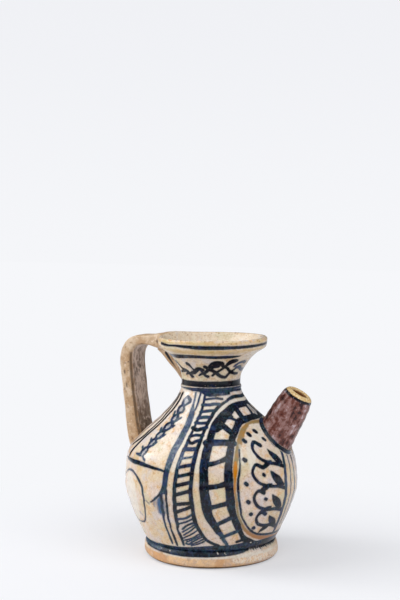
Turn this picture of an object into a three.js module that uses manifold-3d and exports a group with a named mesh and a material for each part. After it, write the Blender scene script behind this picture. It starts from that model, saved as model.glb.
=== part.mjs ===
// An earthenware oil cruet: a turned foot, a thrown belly, a funnel mouth,
// a strap handle and an upward spout, each luted to its neighbour with clay.
// Millimetres, +Z up, origin at the centre of the flat underside, -X to the handle.
import * as THREE from 'three';
import { mergeVertices } from 'three/addons/utils/BufferGeometryUtils.js';
import Module from 'manifold-3d';

const wasm = await Module();
wasm.setup();

// Driving dimensions
const RIM_HEIGHT = 200;
const FOOT_HEIGHT = 15.2;
const SEAM_HEIGHT = 155;
const NECK_RADIUS = 27.2;
const GAP = 0.3;
const TURNS = 64;

// How far the hand-thrown pot's centre line lies off its foot's at the rim, and that share by height
const LEAN = { x: 1.4, y: 0.9 };
const LEAN_SHARES = [[FOOT_HEIGHT, 0], [125, 0.6], [135, 0.24], [142, 0], [160, 0], [RIM_HEIGHT, 1]];

// The lip is drawn up over the handle: how much, how wide in degrees, and how far aside
const LIP_RISE = 2.2;
const LIP_RISE_WIDTH = 24;
const LIP_RISE_ASIDE = 4;

// Spout: reach and height of its tip, its angles above the table and aside of the handle's plane, its radii
const SPOUT_TIP = { reach: 84.5, z: 151.9 };
const SPOUT_ANGLE = THREE.MathUtils.degToRad(59);
const SPOUT_ASIDE = THREE.MathUtils.degToRad(15.3);
const SPOUT_TIP_RADIUS = 12.9;
const SPOUT_ROOT_RADIUS = 17.8;
const SPOUT_BORE_TIP_RADIUS = 7;
const SPOUT_BORE_ROOT_RADIUS = 8.5;
const SPOUT_VISIBLE_LENGTH = 41;
const SPOUT_TUBE_LENGTH = 58;
const LUTING_HEIGHT = 2.5;

const glazed = (color, roughness) => new THREE.MeshStandardMaterial({ color, roughness, metalness: 0 });
const materials = {
  biscuit: glazed(0xd8b58c, 0.75),
  tinGlaze: glazed(0xe8d3b0, 0.3),
  cobaltGlaze: glazed(0x2a3950, 0.3),
  plainGlaze: glazed(0xc9a680, 0.45),
  manganeseGlaze: glazed(0x6a4544, 0.35),
};

// A turned body from [radius, height] points that start and end on the axis or close on themselves
function turned(points, turns = TURNS) {
  const profile = points.map(([radius, height]) => new THREE.Vector2(radius, height));
  const geometry = new THREE.LatheGeometry(profile, turns);
  geometry.rotateX(Math.PI / 2);
  return geometry;
}

function toSolid(geometry) {
  const bare = geometry.index ? geometry.toNonIndexed() : geometry.clone();
  bare.deleteAttribute('normal');
  bare.deleteAttribute('uv');
  const merged = mergeVertices(bare, 1e-4);
  const triangles = [];
  const index = merged.index.array;
  for (let i = 0; i < index.length; i += 3) {
    const [a, b, c] = [index[i], index[i + 1], index[i + 2]];
    if (a !== b && b !== c && c !== a) triangles.push(a, b, c);
  }
  const mesh = new wasm.Mesh({
    numProp: 3,
    vertProperties: new Float32Array(merged.attributes.position.array),
    triVerts: new Uint32Array(triangles),
  });
  return new wasm.Manifold(mesh);
}

function leanShare(height) {
  const above = LEAN_SHARES.findIndex(([step]) => step > height);
  if (above === 0) return 0;
  if (above < 0) return 1;
  const [low, lowShare] = LEAN_SHARES[above - 1];
  const [high, highShare] = LEAN_SHARES[above];
  return THREE.MathUtils.mapLinear(height, low, high, lowShare, highShare);
}

// How much the lip is drawn up at a place: most over the handle, least away from it and below the lip
function lipRise(x, y, z) {
  const aside = (THREE.MathUtils.radToDeg(Math.atan2(y, -x)) - LIP_RISE_ASIDE) / LIP_RISE_WIDTH;
  const byHeight = THREE.MathUtils.smoothstep(z, RIM_HEIGHT - 12, RIM_HEIGHT - 2);
  const byReach = 1 - THREE.MathUtils.smoothstep(Math.hypot(x, y), 50, 64);
  return LIP_RISE * Math.exp(-aside * aside) * byHeight * byReach;
}

// The pot leans a little and its lip is not level
function slumped(geometry) {
  const position = geometry.attributes.position;
  for (let i = 0; i < position.count; i += 1) {
    const [x, y, z] = [position.getX(i), position.getY(i), position.getZ(i)];
    const share = leanShare(z);
    position.setXYZ(i, x + LEAN.x * share, y + LEAN.y * share, z + lipRise(x, y, z));
  }
  return geometry;
}

const cruet = new THREE.Group();
cruet.name = 'oil_cruet';

function addPiece(name, solid, material) {
  const cut = solid.getMesh();
  const geometry = new THREE.BufferGeometry();
  geometry.setAttribute('position', new THREE.BufferAttribute(new Float32Array(cut.vertProperties), 3));
  geometry.setIndex(new THREE.BufferAttribute(new Uint32Array(cut.triVerts), 1));
  slumped(geometry);
  geometry.computeVertexNormals();
  const mesh = new THREE.Mesh(geometry, material);
  mesh.name = name;
  cruet.add(mesh);
}

// The outside of the belly from the groove over the foot up to the seam of the neck
const bellyOutside = [
  [58.9, FOOT_HEIGHT + GAP], [60.6, 18], [62.9, 22], [66.7, 30], [71.4, 40], [75.2, 50], [78.1, 59],
  [79.3, 66], [79.2, 72], [78.4, 81], [76.7, 90], [72.7, 100], [66.6, 108], [59.4, 116], [50.4, 124],
  [42.2, 132], [34.6, 140], [30.6, 146], [28.2, 151], [NECK_RADIUS, SEAM_HEIGHT],
];

const funnelOutside = [
  [NECK_RADIUS, SEAM_HEIGHT + GAP], [27.1, 160], [27.3, 164], [29.2, 170], [32.8, 176], [37.2, 182],
  [41.6, 186], [46.1, 189], [49.1, 191], [50, 193.5], [49.9, 196.5], [49.2, 199], [48, RIM_HEIGHT],
];

// Points moved square to the outline by a distance, outwards where it is positive
function offset(points, distance) {
  return points.map(([radius, height], i) => {
    const before = points[Math.max(i - 1, 0)];
    const after = points[Math.min(i + 1, points.length - 1)];
    const along = new THREE.Vector2(after[0] - before[0], after[1] - before[1]).normalize();
    return [radius + distance * along.y, height - distance * along.x];
  });
}

// Full bodies used only for cutting what sits on the belly and the funnel
const BLANK_EXTRA = 3;
const bellyBlank = toSolid(turned([
  [0, FOOT_HEIGHT], ...offset(bellyOutside, GAP), [NECK_RADIUS + GAP, SEAM_HEIGHT + BLANK_EXTRA],
  [0, SEAM_HEIGHT + BLANK_EXTRA],
]));
const funnelBlank = toSolid(turned([
  [0, SEAM_HEIGHT - BLANK_EXTRA], [NECK_RADIUS + GAP, SEAM_HEIGHT - BLANK_EXTRA], ...offset(funnelOutside, GAP),
  [48, RIM_HEIGHT + BLANK_EXTRA], [0, RIM_HEIGHT + BLANK_EXTRA],
]));

// Foot: a thick turned disc, dished on top to take the belly's round bottom
const FOOT_DISH_RADIUS = 48;
const FOOT_DISH_FLOOR = 9;
const foot = toSolid(turned([
  [0, 0], [57.6, 0], [60.8, 1.4], [62.4, 4], [61.6, 9], [60.7, 12.5], [58.9, FOOT_HEIGHT],
  [FOOT_DISH_RADIUS + 1.5, FOOT_HEIGHT], [FOOT_DISH_RADIUS, FOOT_HEIGHT - 1.5],
  [FOOT_DISH_RADIUS - 4, FOOT_DISH_FLOOR], [0, FOOT_DISH_FLOOR],
]));
addPiece('foot_disc', foot, materials.biscuit);

// Spout directions: along its axis from root to tip
const level = Math.cos(SPOUT_ANGLE);
const spoutAxis = new THREE.Vector3(
  level * Math.cos(SPOUT_ASIDE), level * Math.sin(SPOUT_ASIDE), Math.sin(SPOUT_ANGLE),
);
const spoutTip = new THREE.Vector3(
  SPOUT_TIP.reach * Math.cos(SPOUT_ASIDE), SPOUT_TIP.reach * Math.sin(SPOUT_ASIDE), SPOUT_TIP.z,
);

// A body turned round the spout's axis, its heights counted back from the tip
function onSpout(points, turns) {
  const geometry = turned(points, turns);
  const turn = new THREE.Quaternion().setFromUnitVectors(new THREE.Vector3(0, 0, 1), spoutAxis);
  geometry.applyQuaternion(turn);
  geometry.translate(spoutTip.x, spoutTip.y, spoutTip.z);
  return toSolid(geometry);
}

const spoutBore = onSpout([
  [0, -SPOUT_TUBE_LENGTH - 6], [SPOUT_BORE_ROOT_RADIUS, -SPOUT_TUBE_LENGTH - 6],
  [SPOUT_BORE_ROOT_RADIUS, -SPOUT_VISIBLE_LENGTH], [SPOUT_BORE_TIP_RADIUS, -3],
  [SPOUT_BORE_TIP_RADIUS + 1, 0], [SPOUT_BORE_TIP_RADIUS + 2, 3], [0, 3],
], 32);

// Belly: a thrown shell with its own round bottom, an open shoulder and the hole behind the spout
const bellyInside = [
  [20, SEAM_HEIGHT], [20.3, 151], [22.8, 146], [27.2, 140], [34.6, 133], [42.6, 125.5], [51, 117.5],
  [58.6, 109.5], [65, 100.5], [69.6, 90], [71.8, 80], [72.7, 70], [71.8, 59], [68.6, 48], [64, 38],
  [58, 28], [48, 20], [36, 16.8], [0, 16],
];
const belly = toSolid(turned([
  [0, FOOT_DISH_FLOOR + GAP], [FOOT_DISH_RADIUS - 5, FOOT_DISH_FLOOR + GAP],
  [FOOT_DISH_RADIUS - 0.8, FOOT_HEIGHT - 1.5], [FOOT_DISH_RADIUS + 0.9, FOOT_HEIGHT + GAP],
  ...bellyOutside, ...bellyInside,
])).subtract(spoutBore);
addPiece('belly', belly, materials.tinGlaze);

// Funnel: neck, flare and thick lip, thrown apart from the belly and set on it
const funnel = toSolid(turned([
  ...funnelOutside, [46.4, 199.5], [44.8, 197.6], [42.6, 193], [38, 188], [31.4, 181.6], [26.2, 176],
  [22.4, 170], [20.4, 163.5], [19.8, SEAM_HEIGHT + GAP], funnelOutside[0],
]));
addPiece('neck_funnel', funnel, materials.tinGlaze);

// Cordon: a thin coil of clay that closes the seam of neck and belly
const CORDON_HALF_HEIGHT = 2.2;
const CORDON_CREST = 1;
const CORDON_PROUD = 0.9;
const CORDON_INSIDE = 24;
const cordonRing = toSolid(turned([
  [CORDON_INSIDE, SEAM_HEIGHT - CORDON_HALF_HEIGHT],
  [NECK_RADIUS + CORDON_PROUD + 0.2, SEAM_HEIGHT - CORDON_HALF_HEIGHT],
  [NECK_RADIUS + CORDON_PROUD + 0.1, SEAM_HEIGHT - CORDON_CREST],
  [NECK_RADIUS + CORDON_PROUD, SEAM_HEIGHT + CORDON_CREST],
  [NECK_RADIUS + CORDON_PROUD - 0.5, SEAM_HEIGHT + CORDON_HALF_HEIGHT],
  [CORDON_INSIDE, SEAM_HEIGHT + CORDON_HALF_HEIGHT],
  [CORDON_INSIDE, SEAM_HEIGHT - CORDON_HALF_HEIGHT],
]));
const cordon = cordonRing.subtract(bellyBlank).subtract(funnelBlank);
addPiece('neck_cordon', cordon, materials.cobaltGlaze);

// Spout: a tapered tube whose root is cut to the belly's curve
const spoutOutside = [[SPOUT_ROOT_RADIUS, -SPOUT_VISIBLE_LENGTH - 6], [16.6, -34], [15.8, -20], [14.4, -7]];
const spoutSolid = onSpout([
  [0, -SPOUT_TUBE_LENGTH], [SPOUT_ROOT_RADIUS + 1, -SPOUT_TUBE_LENGTH], ...spoutOutside,
  [SPOUT_TIP_RADIUS, -1], [SPOUT_TIP_RADIUS - 0.8, 0], [0, 0],
], 40);
const spout = spoutSolid.subtract(bellyBlank).subtract(spoutBore);
addPiece('spout_tube', spout, materials.manganeseGlaze);

// Luting round the root of the spout: a coil of clay pressed into the corner
const spoutGrown = onSpout([
  [0, -SPOUT_TUBE_LENGTH - 2], [SPOUT_ROOT_RADIUS + 1 + GAP, -SPOUT_TUBE_LENGTH - 2],
  ...spoutOutside.map(([radius, height]) => [radius + GAP, height]), [0, -7],
], 40);
const spoutLuting = onSpout([
  [0, -SPOUT_TUBE_LENGTH], [SPOUT_ROOT_RADIUS + 3.4, -SPOUT_TUBE_LENGTH],
  [SPOUT_ROOT_RADIUS + 2.8, -SPOUT_VISIBLE_LENGTH - 6], [SPOUT_ROOT_RADIUS + 1.7, -SPOUT_VISIBLE_LENGTH - 1],
  [SPOUT_ROOT_RADIUS + 0.4, -SPOUT_VISIBLE_LENGTH + LUTING_HEIGHT], [0, -SPOUT_VISIBLE_LENGTH + LUTING_HEIGHT],
], 40).subtract(spoutGrown).subtract(bellyBlank);
addPiece('spout_luting', spoutLuting, materials.cobaltGlaze);

// A strap swept along stations in the plane of the handle.
// Each station is [x, z, thickness, width]; the section is a rounded oblong.
const SECTION_POINTS = 16;
function strap(stations, squareness, grow = 0) {
  const path = new THREE.CatmullRomCurve3(stations.map(([x, z]) => new THREE.Vector3(x, 0, z)), false, 'centripetal');
  const steps = (stations.length - 1) * 3;
  const positions = [];
  for (let i = 0; i <= steps; i += 1) {
    const t = i / steps;
    const place = Math.min(Math.floor(t * (stations.length - 1)), stations.length - 2);
    const blend = t * (stations.length - 1) - place;
    const half = (field) => THREE.MathUtils.lerp(stations[place][field], stations[place + 1][field], blend) / 2 + grow;
    const centre = path.getPoint(t);
    const tangent = path.getTangent(t);
    const outward = new THREE.Vector3(tangent.z, 0, -tangent.x);
    for (let k = 0; k < SECTION_POINTS; k += 1) {
      const angle = (k / SECTION_POINTS) * 2 * Math.PI;
      const across = Math.sign(Math.cos(angle)) * Math.abs(Math.cos(angle)) ** squareness * half(2);
      const side = Math.sign(Math.sin(angle)) * Math.abs(Math.sin(angle)) ** squareness * half(3);
      positions.push(centre.x + outward.x * across, side, centre.z + outward.z * across);
    }
  }
  const index = [];
  for (let i = 0; i < steps; i += 1) {
    for (let k = 0; k < SECTION_POINTS; k += 1) {
      const next = (k + 1) % SECTION_POINTS;
      const low = i * SECTION_POINTS;
      const high = low + SECTION_POINTS;
      index.push(low + k, low + next, high + next, low + k, high + next, high + k);
    }
  }
  const last = steps * SECTION_POINTS;
  for (let k = 1; k < SECTION_POINTS - 1; k += 1) {
    index.push(0, k + 1, k, last, last + k, last + k + 1);
  }
  const geometry = new THREE.BufferGeometry();
  geometry.setAttribute('position', new THREE.Float32BufferAttribute(positions, 3));
  geometry.setIndex(index);
  const solid = toSolid(geometry);
  if (solid.volume() > 0) return solid;
  const turnedIndex = index.map((_, i) => index[i - (i % 3) + [0, 2, 1][i % 3]]);
  geometry.setIndex(turnedIndex);
  return toSolid(geometry);
}

// Handle: a pulled strap of nearly square section, from the lip over a square bend down to the shoulder
const STRAP_SQUARENESS = 0.38;
const handleStations = [
  [-42, 192.6, 13, 31], [-50, 192.9, 13.6, 30], [-58, 193.6, 12.6, 27.5], [-65.5, 193.8, 9.8, 26],
  [-72.5, 193.6, 9.2, 25.5], [-79, 192.3, 9.8, 25.5], [-85.2, 188.9, 11.4, 25.5], [-89.2, 184, 13, 25.6],
  [-91.1, 176, 14.2, 26], [-89.8, 164.5, 14.4, 26], [-87.6, 151, 14.4, 26], [-85.7, 136, 14.4, 26],
  [-84.2, 121, 14.8, 26.2], [-82.3, 111, 15.4, 27], [-80.6, 102, 16, 27.6], [-78, 94.5, 16, 28],
  [-73.5, 88.5, 15, 28], [-67, 85, 13, 27],
];
const handle = strap(handleStations, STRAP_SQUARENESS).subtract(funnelBlank).subtract(bellyBlank);
addPiece('strap_handle', handle, materials.plainGlaze);
const handleGrown = strap(handleStations, STRAP_SQUARENESS, GAP);

// Luting under the top of the handle: a web of clay drawn down the funnel to the neck
const LUTING_SQUARENESS = 0.62;
const topWeb = [
  [-45, 191, 18, 24], [-42, 185.5, 17, 22], [-37.5, 177, 14.5, 18], [-31.8, 169.5, 10.5, 14.5],
  [-28, 163, 7.5, 12], [-26, 158.6, 6, 10],
];
const topLuting = strap(topWeb, LUTING_SQUARENESS).subtract(handleGrown).subtract(funnelBlank).subtract(bellyBlank);
const topPieces = topLuting.decompose().sort((a, b) => b.volume() - a.volume());
addPiece('handle_top_luting', topPieces[0], materials.plainGlaze);

// Luting round the foot of the handle: a pad of clay thumbed onto the shoulder
const footPad = [
  [-64, 107, 8, 26], [-70, 101.5, 10, 32], [-74.5, 95, 13, 34], [-77.4, 88, 14, 33], [-77.6, 81.5, 10, 27],
  [-76.9, 77, 5, 16],
];
const footLuting = strap(footPad, LUTING_SQUARENESS).subtract(handleGrown).subtract(bellyBlank);
const footPieces = footLuting.decompose().sort((a, b) => b.volume() - a.volume());
addPiece('handle_foot_luting', footPieces[0], materials.plainGlaze);

export default cruet;
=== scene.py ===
import math
import bmesh
import bpy
import numpy as np
from mathutils import Matrix, Vector


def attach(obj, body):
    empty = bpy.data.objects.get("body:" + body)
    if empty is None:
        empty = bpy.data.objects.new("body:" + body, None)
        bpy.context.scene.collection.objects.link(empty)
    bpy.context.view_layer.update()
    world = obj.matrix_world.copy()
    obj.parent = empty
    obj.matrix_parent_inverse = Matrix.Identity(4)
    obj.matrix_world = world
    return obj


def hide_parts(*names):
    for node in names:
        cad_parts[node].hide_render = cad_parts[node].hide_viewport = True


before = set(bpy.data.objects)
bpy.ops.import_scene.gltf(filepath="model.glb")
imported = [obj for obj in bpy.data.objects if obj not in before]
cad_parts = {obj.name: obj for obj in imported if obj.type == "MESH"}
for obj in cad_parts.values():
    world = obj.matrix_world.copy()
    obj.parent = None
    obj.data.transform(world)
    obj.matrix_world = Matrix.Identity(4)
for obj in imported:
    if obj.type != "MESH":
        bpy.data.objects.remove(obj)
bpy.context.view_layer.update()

# Foot: a thick disc of buff earthenware turned on the wheel, its lower edge worn and left
# bare of glaze. The belly's round bottom is luted into it, and one painted band covers the groove.
MM = 0.001
TURN_STEPS = 400
FOOT_RADIUS = 61
# Its lower edge is rubbed away most at the left of the handle. Turns are in degrees from opposite the
# handle towards the viewer.
WORN_DEPTH = 1.7
WORN_TURN = 128
WORN_WIDTH = 26
# The whole pot leans a little, and its lip is drawn up over the handle and less on the side away from it.
LEAN = (1.4, 0.9)
LEAN_HEIGHTS = [15.2, 125, 135, 142, 160, 200]
LEAN_SHARES = [0, 0.6, 0.24, 0, 0, 1]
LIP_HEIGHTS = (188, 198)
LIP_RISE = 2.1
LIP_RISE_TURN = 4
LIP_RISE_WIDTH = 24
FAR_RISE = 0.5
FAR_RISE_TURN = -34
FAR_RISE_WIDTH = 40
# The wheel left it slightly oval and three sided, and a thumb pushed one place out from inside.
OVAL = 0.18
THREE_SIDED = 0.12
DRAWN_IN = 0.3
BULGE = 2.0
BULGE_TURN = -143
BULGE_WIDTH = 22
BULGE_HEIGHT = 97
BULGE_RISE = 12


def smoothed(points, step):
    """A smooth run through a few points, with a new point about every step."""
    given = np.array(points, float)
    gaps = np.linalg.norm(np.diff(given, axis=0), axis=1)
    along = np.concatenate([[0], np.cumsum(gaps)])
    slopes = np.gradient(given, along, axis=0)
    count = max(2, int(round(along[-1] / step)) + 1)
    where = np.linspace(0, along[-1], count)
    left = np.clip(np.searchsorted(along, where, side="right") - 1, 0, len(given) - 2)
    gap = (along[left + 1] - along[left])[:, None]
    t = (where - along[left])[:, None] / gap
    return ((2 * t**3 - 3 * t**2 + 1) * given[left] + (t**3 - 2 * t**2 + t) * gap * slopes[left]
            + (3 * t**2 - 2 * t**3) * given[left + 1] + (t**3 - t**2) * gap * slopes[left + 1])


def spun(outline, steps, closed=False):
    """A bmesh turned round Z from [radius, height] points in mm."""
    bm = bmesh.new()
    ring = [bm.verts.new((radius, 0, height)) for radius, height in outline]
    for start, end in zip(ring, ring[1:] + (ring[:1] if closed else [])):
        bm.edges.new((start, end))
    bmesh.ops.spin(bm, geom=bm.verts[:] + bm.edges[:], cent=(0, 0, 0), axis=(0, 0, 1), dvec=(0, 0, 0),
                   angle=2 * math.pi, steps=steps, use_merge=True)
    bmesh.ops.remove_doubles(bm, verts=bm.verts[:], dist=1e-4)
    bmesh.ops.recalc_face_normals(bm, faces=bm.faces[:])
    return bm


def as_piece(name, bm):
    """An object whose mesh is still in mm, smooth shaded."""
    mesh = bpy.data.meshes.new(name)
    bm.to_mesh(mesh)
    bm.free()
    mesh.shade_smooth()
    piece = bpy.data.objects.new(name, mesh)
    bpy.context.collection.objects.link(piece)
    return piece


def points_of(piece):
    flat = np.empty(len(piece.data.vertices) * 3)
    piece.data.vertices.foreach_get("co", flat)
    return flat.reshape(-1, 3)


def eased(value, low, high):
    t = np.clip((value - low) / (high - low), 0, 1)
    return t * t * (3 - 2 * t)


def moved(piece, points):
    """Puts the piece's points at new places."""
    piece.data.vertices.foreach_set("co", points.ravel())
    piece.data.update()


def slumped(piece):
    """Leans the piece with the pot, draws the lip up over the handle, and brings it to metres."""
    x, y, z = points_of(piece).T
    over_handle = (np.degrees(np.arctan2(y, -x)) - LIP_RISE_TURN) / LIP_RISE_WIDTH
    far_side = (np.degrees(np.arctan2(-y, x)) - FAR_RISE_TURN) / FAR_RISE_WIDTH
    rise = LIP_RISE * np.exp(-over_handle**2) * (1 - eased(np.hypot(x, y), 50, 64))
    rise = (rise + FAR_RISE * np.exp(-far_side**2)) * eased(z, *LIP_HEIGHTS)
    share = np.interp(z, LEAN_HEIGHTS, LEAN_SHARES)
    moved(piece, np.stack([x + LEAN[0] * share, y + LEAN[1] * share, z + rise], 1) * MM)


def thrown(piece, ridge=0.16):
    """Gives the piece the throwing ridges, uneven round and bulge of a hand-thrown pot, then its lean."""
    points = points_of(piece)
    x, y, z = points.T
    turn = np.arctan2(y, x)
    from_bulge = np.hypot((np.degrees(turn) - BULGE_TURN) / BULGE_WIDTH, (z - BULGE_HEIGHT) / BULGE_RISE)
    swell = OVAL * np.sin(2 * turn + 0.6) + THREE_SIDED * np.sin(3 * turn + z / 31) - DRAWN_IN
    swell += BULGE * np.exp(-from_bulge**2)
    rings = ridge * np.sin(z / 1.35 + 1.6 * np.sin(z / 17) + turn) * (0.6 + 0.4 * np.sin(z / 11 + 2))
    radius = np.maximum(np.hypot(x, y), 1e-6)
    share = np.clip((z - 2) / 20, 0, 1) * np.clip(radius / 20, 0, 1)
    points[:, :2] *= (1 + share * (swell + rings) / radius)[:, None]
    moved(piece, points)
    slumped(piece)


def stands_for(piece, node_name, material):
    """Gives the piece its material, and sets it on the pot in place of its plain solid."""
    piece.data.materials.append(material)
    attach(piece, "root")
    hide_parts(node_name)


foot_outside = smoothed([(57.4, 0), (60, 1.1), (61.9, 3.8), (61.6, 8), (60.7, 12.5), (59.4, 14.6)], 0.7)
foot_outline = [(0, 0), (30, 0), *foot_outside, (58.4, 15.1), (49.5, 15.2), (48, 13.7), (44, 9.3), (0, 9.3)]
foot = as_piece("turned_foot", spun(foot_outline, TURN_STEPS))
points = points_of(foot)
from_worn = (np.degrees(np.arctan2(-points[:, 1], points[:, 0])) - WORN_TURN) / WORN_WIDTH
worn = WORN_DEPTH * np.exp(-from_worn**2) * (1 - eased(points[:, 2], 3, 11))
points[:, :2] *= (1 - worn / FOOT_RADIUS * eased(np.hypot(points[:, 0], points[:, 1]), 50, 57))[:, None]
moved(foot, points)

# Brushwork: strokes laid on the raw tin glaze with a loaded brush before the second firing, over foot,
# belly and neck as one. A stroke is a run of [turn, height, width] marks, in degrees from opposite the
# handle towards the viewer, and in mm. It is laid again on the far side of the spout.
SPOUT_ASIDE = 15.3
SIDE_TURN = 85
WIDEST_FADE = 5.0
STROKE_STEP = 1.6
STEEPEST = 1.8
belly_outline = [(58.9, 15.4), (60.6, 18), (62.9, 22), (66.7, 30), (71.4, 40), (75.2, 50), (78.1, 59),
                 (79.3, 66), (79.2, 72), (78.4, 81), (76.7, 90), (72.7, 100), (66.6, 108), (59.4, 116),
                 (50.4, 124), (42.2, 132), (34.6, 140), (30.6, 146), (28.2, 151), (27.2, 155)]
funnel_outline = [(27.2, 155), (27.1, 160), (27.3, 164), (29.2, 170), (32.8, 176), (37.2, 182), (41.6, 186),
                  (46.1, 189), (48.9, 191), (49.9, 193.5), (50, 196.5), (49.6, 198.9), (48.5, 199.9)]
belly_outside = smoothed(belly_outline, 0.95)
funnel_outside = smoothed(funnel_outline, 0.9)

outside = np.concatenate([foot_outside, belly_outside, funnel_outside[1:]])
steepness = np.clip(np.hypot(1, np.gradient(outside[:, 0], outside[:, 1])), 1, STEEPEST)
hand = np.random.default_rng(1490)
strokes = {"cobalt": [], "ochre": [], "amber": [], "straw": [], "pale": [], "bloom": [], "bare": [],
           "wiped": []}


def on_pot(points):
    """The places on the pot's outside at runs of [turn, height]."""
    turn, height = np.radians(points[:, 0]), points[:, 1]
    radius = np.interp(height, outside[:, 1], outside[:, 0])
    return np.stack([radius * np.cos(turn), -radius * np.sin(turn), height], 1)


def degrees_of(mm, height):
    """The turn that a distance round the pot takes at this height."""
    return math.degrees(mm / np.interp(height, outside[:, 1], outside[:, 0]))


def brush(colour, marks, tone=1.0, width=None, shake=0.25, both=True):
    """Lays a stroke and its repeat. A width given here holds for marks of [turn, height] alone."""
    given = np.array(marks, float)
    if width is not None:
        given = np.column_stack([given, np.full(len(given), width)])
    for far in (False, True) if both else (False,):
        run = given.copy()
        if far:
            from_spout = np.interp(run[:, 0] + SPOUT_ASIDE, [0, SIDE_TURN, 180 + SPOUT_ASIDE],
                                   [0, SIDE_TURN, 180 - SPOUT_ASIDE])
            run[:, 0] = -SPOUT_ASIDE - from_spout
        per_mm = degrees_of(1, run[:, 1].mean())
        run[:, 0] /= per_mm
        run = smoothed(run, STROKE_STEP)
        run[:, 0] *= per_mm
        drift = np.cumsum(hand.normal(0, 1, (len(run), 3)), axis=0)
        drift -= np.linspace(0, 1, len(run))[:, None] * drift[-1]
        run += drift * shake / math.sqrt(len(run)) * np.array([per_mm, 0.7, 0.6])
        ahead = np.gradient(run[:, :2] / (per_mm, 1), axis=0)
        ahead /= np.maximum(np.linalg.norm(ahead, axis=1), 1e-6)[:, None]
        slope = np.interp(run[:, 1], outside[:, 1], steepness)
        width_here = run[:, 2] * np.hypot(ahead[:, 1], ahead[:, 0] * slope)
        strokes[colour].append((on_pot(run[:, :2]), np.maximum(width_here, 0.4) / 2, tone))


def nearest(points, laid):
    """Distance in mm from each point to the edge of the nearest stroke, below 0 inside, and its tone."""
    best = np.full(len(points), WIDEST_FADE)
    tone = np.ones(len(points))
    for run, half, strength in laid:
        low = run.min(0) - half.max() - WIDEST_FADE
        high = run.max(0) + half.max() + WIDEST_FADE
        near = np.flatnonzero(((points > low) & (points < high)).all(1))
        if not len(near):
            continue
        here = points[near]
        closest = best[near].copy()
        for i in range(len(run) - 1):
            span = run[i + 1] - run[i]
            t = np.clip(((here - run[i]) @ span) / max(span @ span, 1e-9), 0, 1)
            gap = np.linalg.norm(here - run[i] - t[:, None] * span, axis=1)
            closest = np.minimum(closest, gap - half[i] * (1 - t) - half[i + 1] * t)
        better = closest < best[near]
        best[near[better]] = closest[better]
        tone[near[better]] = strength
    return best, tone


def marked(piece, layer, values, kind="FLOAT", field="value"):
    """Keeps a value for each of the piece's points under a name that its glaze reads."""
    piece.data.attributes.new(layer, kind, "POINT").data.foreach_set(field, values)


def painted(piece, laid_by_colour):
    """Writes each colour's edge distance on the piece's points, so that its glaze can read them."""
    points = points_of(piece)
    wiped = nearest(points, laid_by_colour.get("wiped", []))[0]
    for colour, laid in laid_by_colour.items():
        distance, tone = nearest(points, laid)
        if colour == "cobalt":
            distance = np.maximum(distance, -wiped)
            marked(piece, "cobalt_tone", tone)
        marked(piece, colour, distance)


# The band round the foot, with its toothed lower edge under the spout.
brush("cobalt", [(19, 17.8, 4), (26, 15, 3.4), (34, 14.1, 3.6), (48, 13.4, 4), (65, 13, 4), (85, 12.6, 4),
                 (97, 12.8, 3.4), (106, 13.4, 3)], 0.95, shake=0.2)
brush("cobalt",
      [(14, 19.2, 3.6), (26, 17.2, 3.6), (48, 16.4, 3.4), (70, 15.8, 3.4), (97, 15.5, 3), (106, 15.6, 3)],
      0.88, shake=0.2)
brush("cobalt", [(-17, 20, 3), (14, 21, 3), (26, 19.6, 3), (48, 19.2, 2.4), (70, 18.4, 2.2), (88, 17.4, 2),
                 (106, 17.2, 1.8)], 0.92, shake=0.2)
brush("cobalt", [(104, 14.4, 5.4), (115, 14.8, 5), (128, 14.8, 4.2), (140, 15, 3.6), (181, 15.4, 3.4)], 0.6,
      shake=0.2)
brush("cobalt", [(-17, 16.6, 4), (-6, 17, 4.4), (6, 17.2, 4.6), (16, 17.4, 4.6), (20, 17.4, 4.8)], 0.95,
      shake=0.2)
brush("cobalt", [(60, 11.6, 1.2), (80, 10.9, 1.2), (99, 11.6, 1.2), (115, 12.4, 1.4), (128, 12.8, 1)], 1)
brush("pale", [(56, 20.9, 0.8), (75, 20, 0.8), (96, 19, 0.7)])
TEETH = 14
for tooth in range(TEETH):
    turn = -16 + 2.7 * tooth
    tip = 14.3 - 0.5 * math.sin(tooth * 2.3)
    brush("cobalt", [(turn + 1, 17.4, 2), (turn - 0.4, tip, 1.3)], 1, shake=0.1, both=False)
    for layer_of_notch in ("wiped", "pale"):
        brush(layer_of_notch, [(turn + 1.3, tip - 0.4, 1.3), (turn + 1.8, tip + 1.7, 0.7)], shake=0.1,
              both=False)
brush("pale", [(22, 11.4, 1.4), (40, 10.6, 1.6), (60, 10, 1.6), (80, 9.6, 1.6), (99, 10.2, 1.4)])
brush("pale", [(-30, 6, 7), (-12, 6.6, 9), (8, 7.4, 9), (24, 7.8, 8), (36, 7.4, 5)], shake=1.5, both=False)
for turn, height, rise, size in ((43.5, 13, 1.2, 1.1), (50, 13.6, 1.2, 1.5), (93, 13.3, 0.4, 1.2),
                                 (21.4, 21.8, 0.5, 1.6), (103, 13.2, 1, 0.9), (105.6, 14.8, 0.8, 1)):
    for layer_of_chip in ("wiped", "pale"):
        brush(layer_of_chip, [(turn, height, size), (turn + 0.7, height + rise, size * 0.8)], shake=0,
              both=False)

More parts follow.
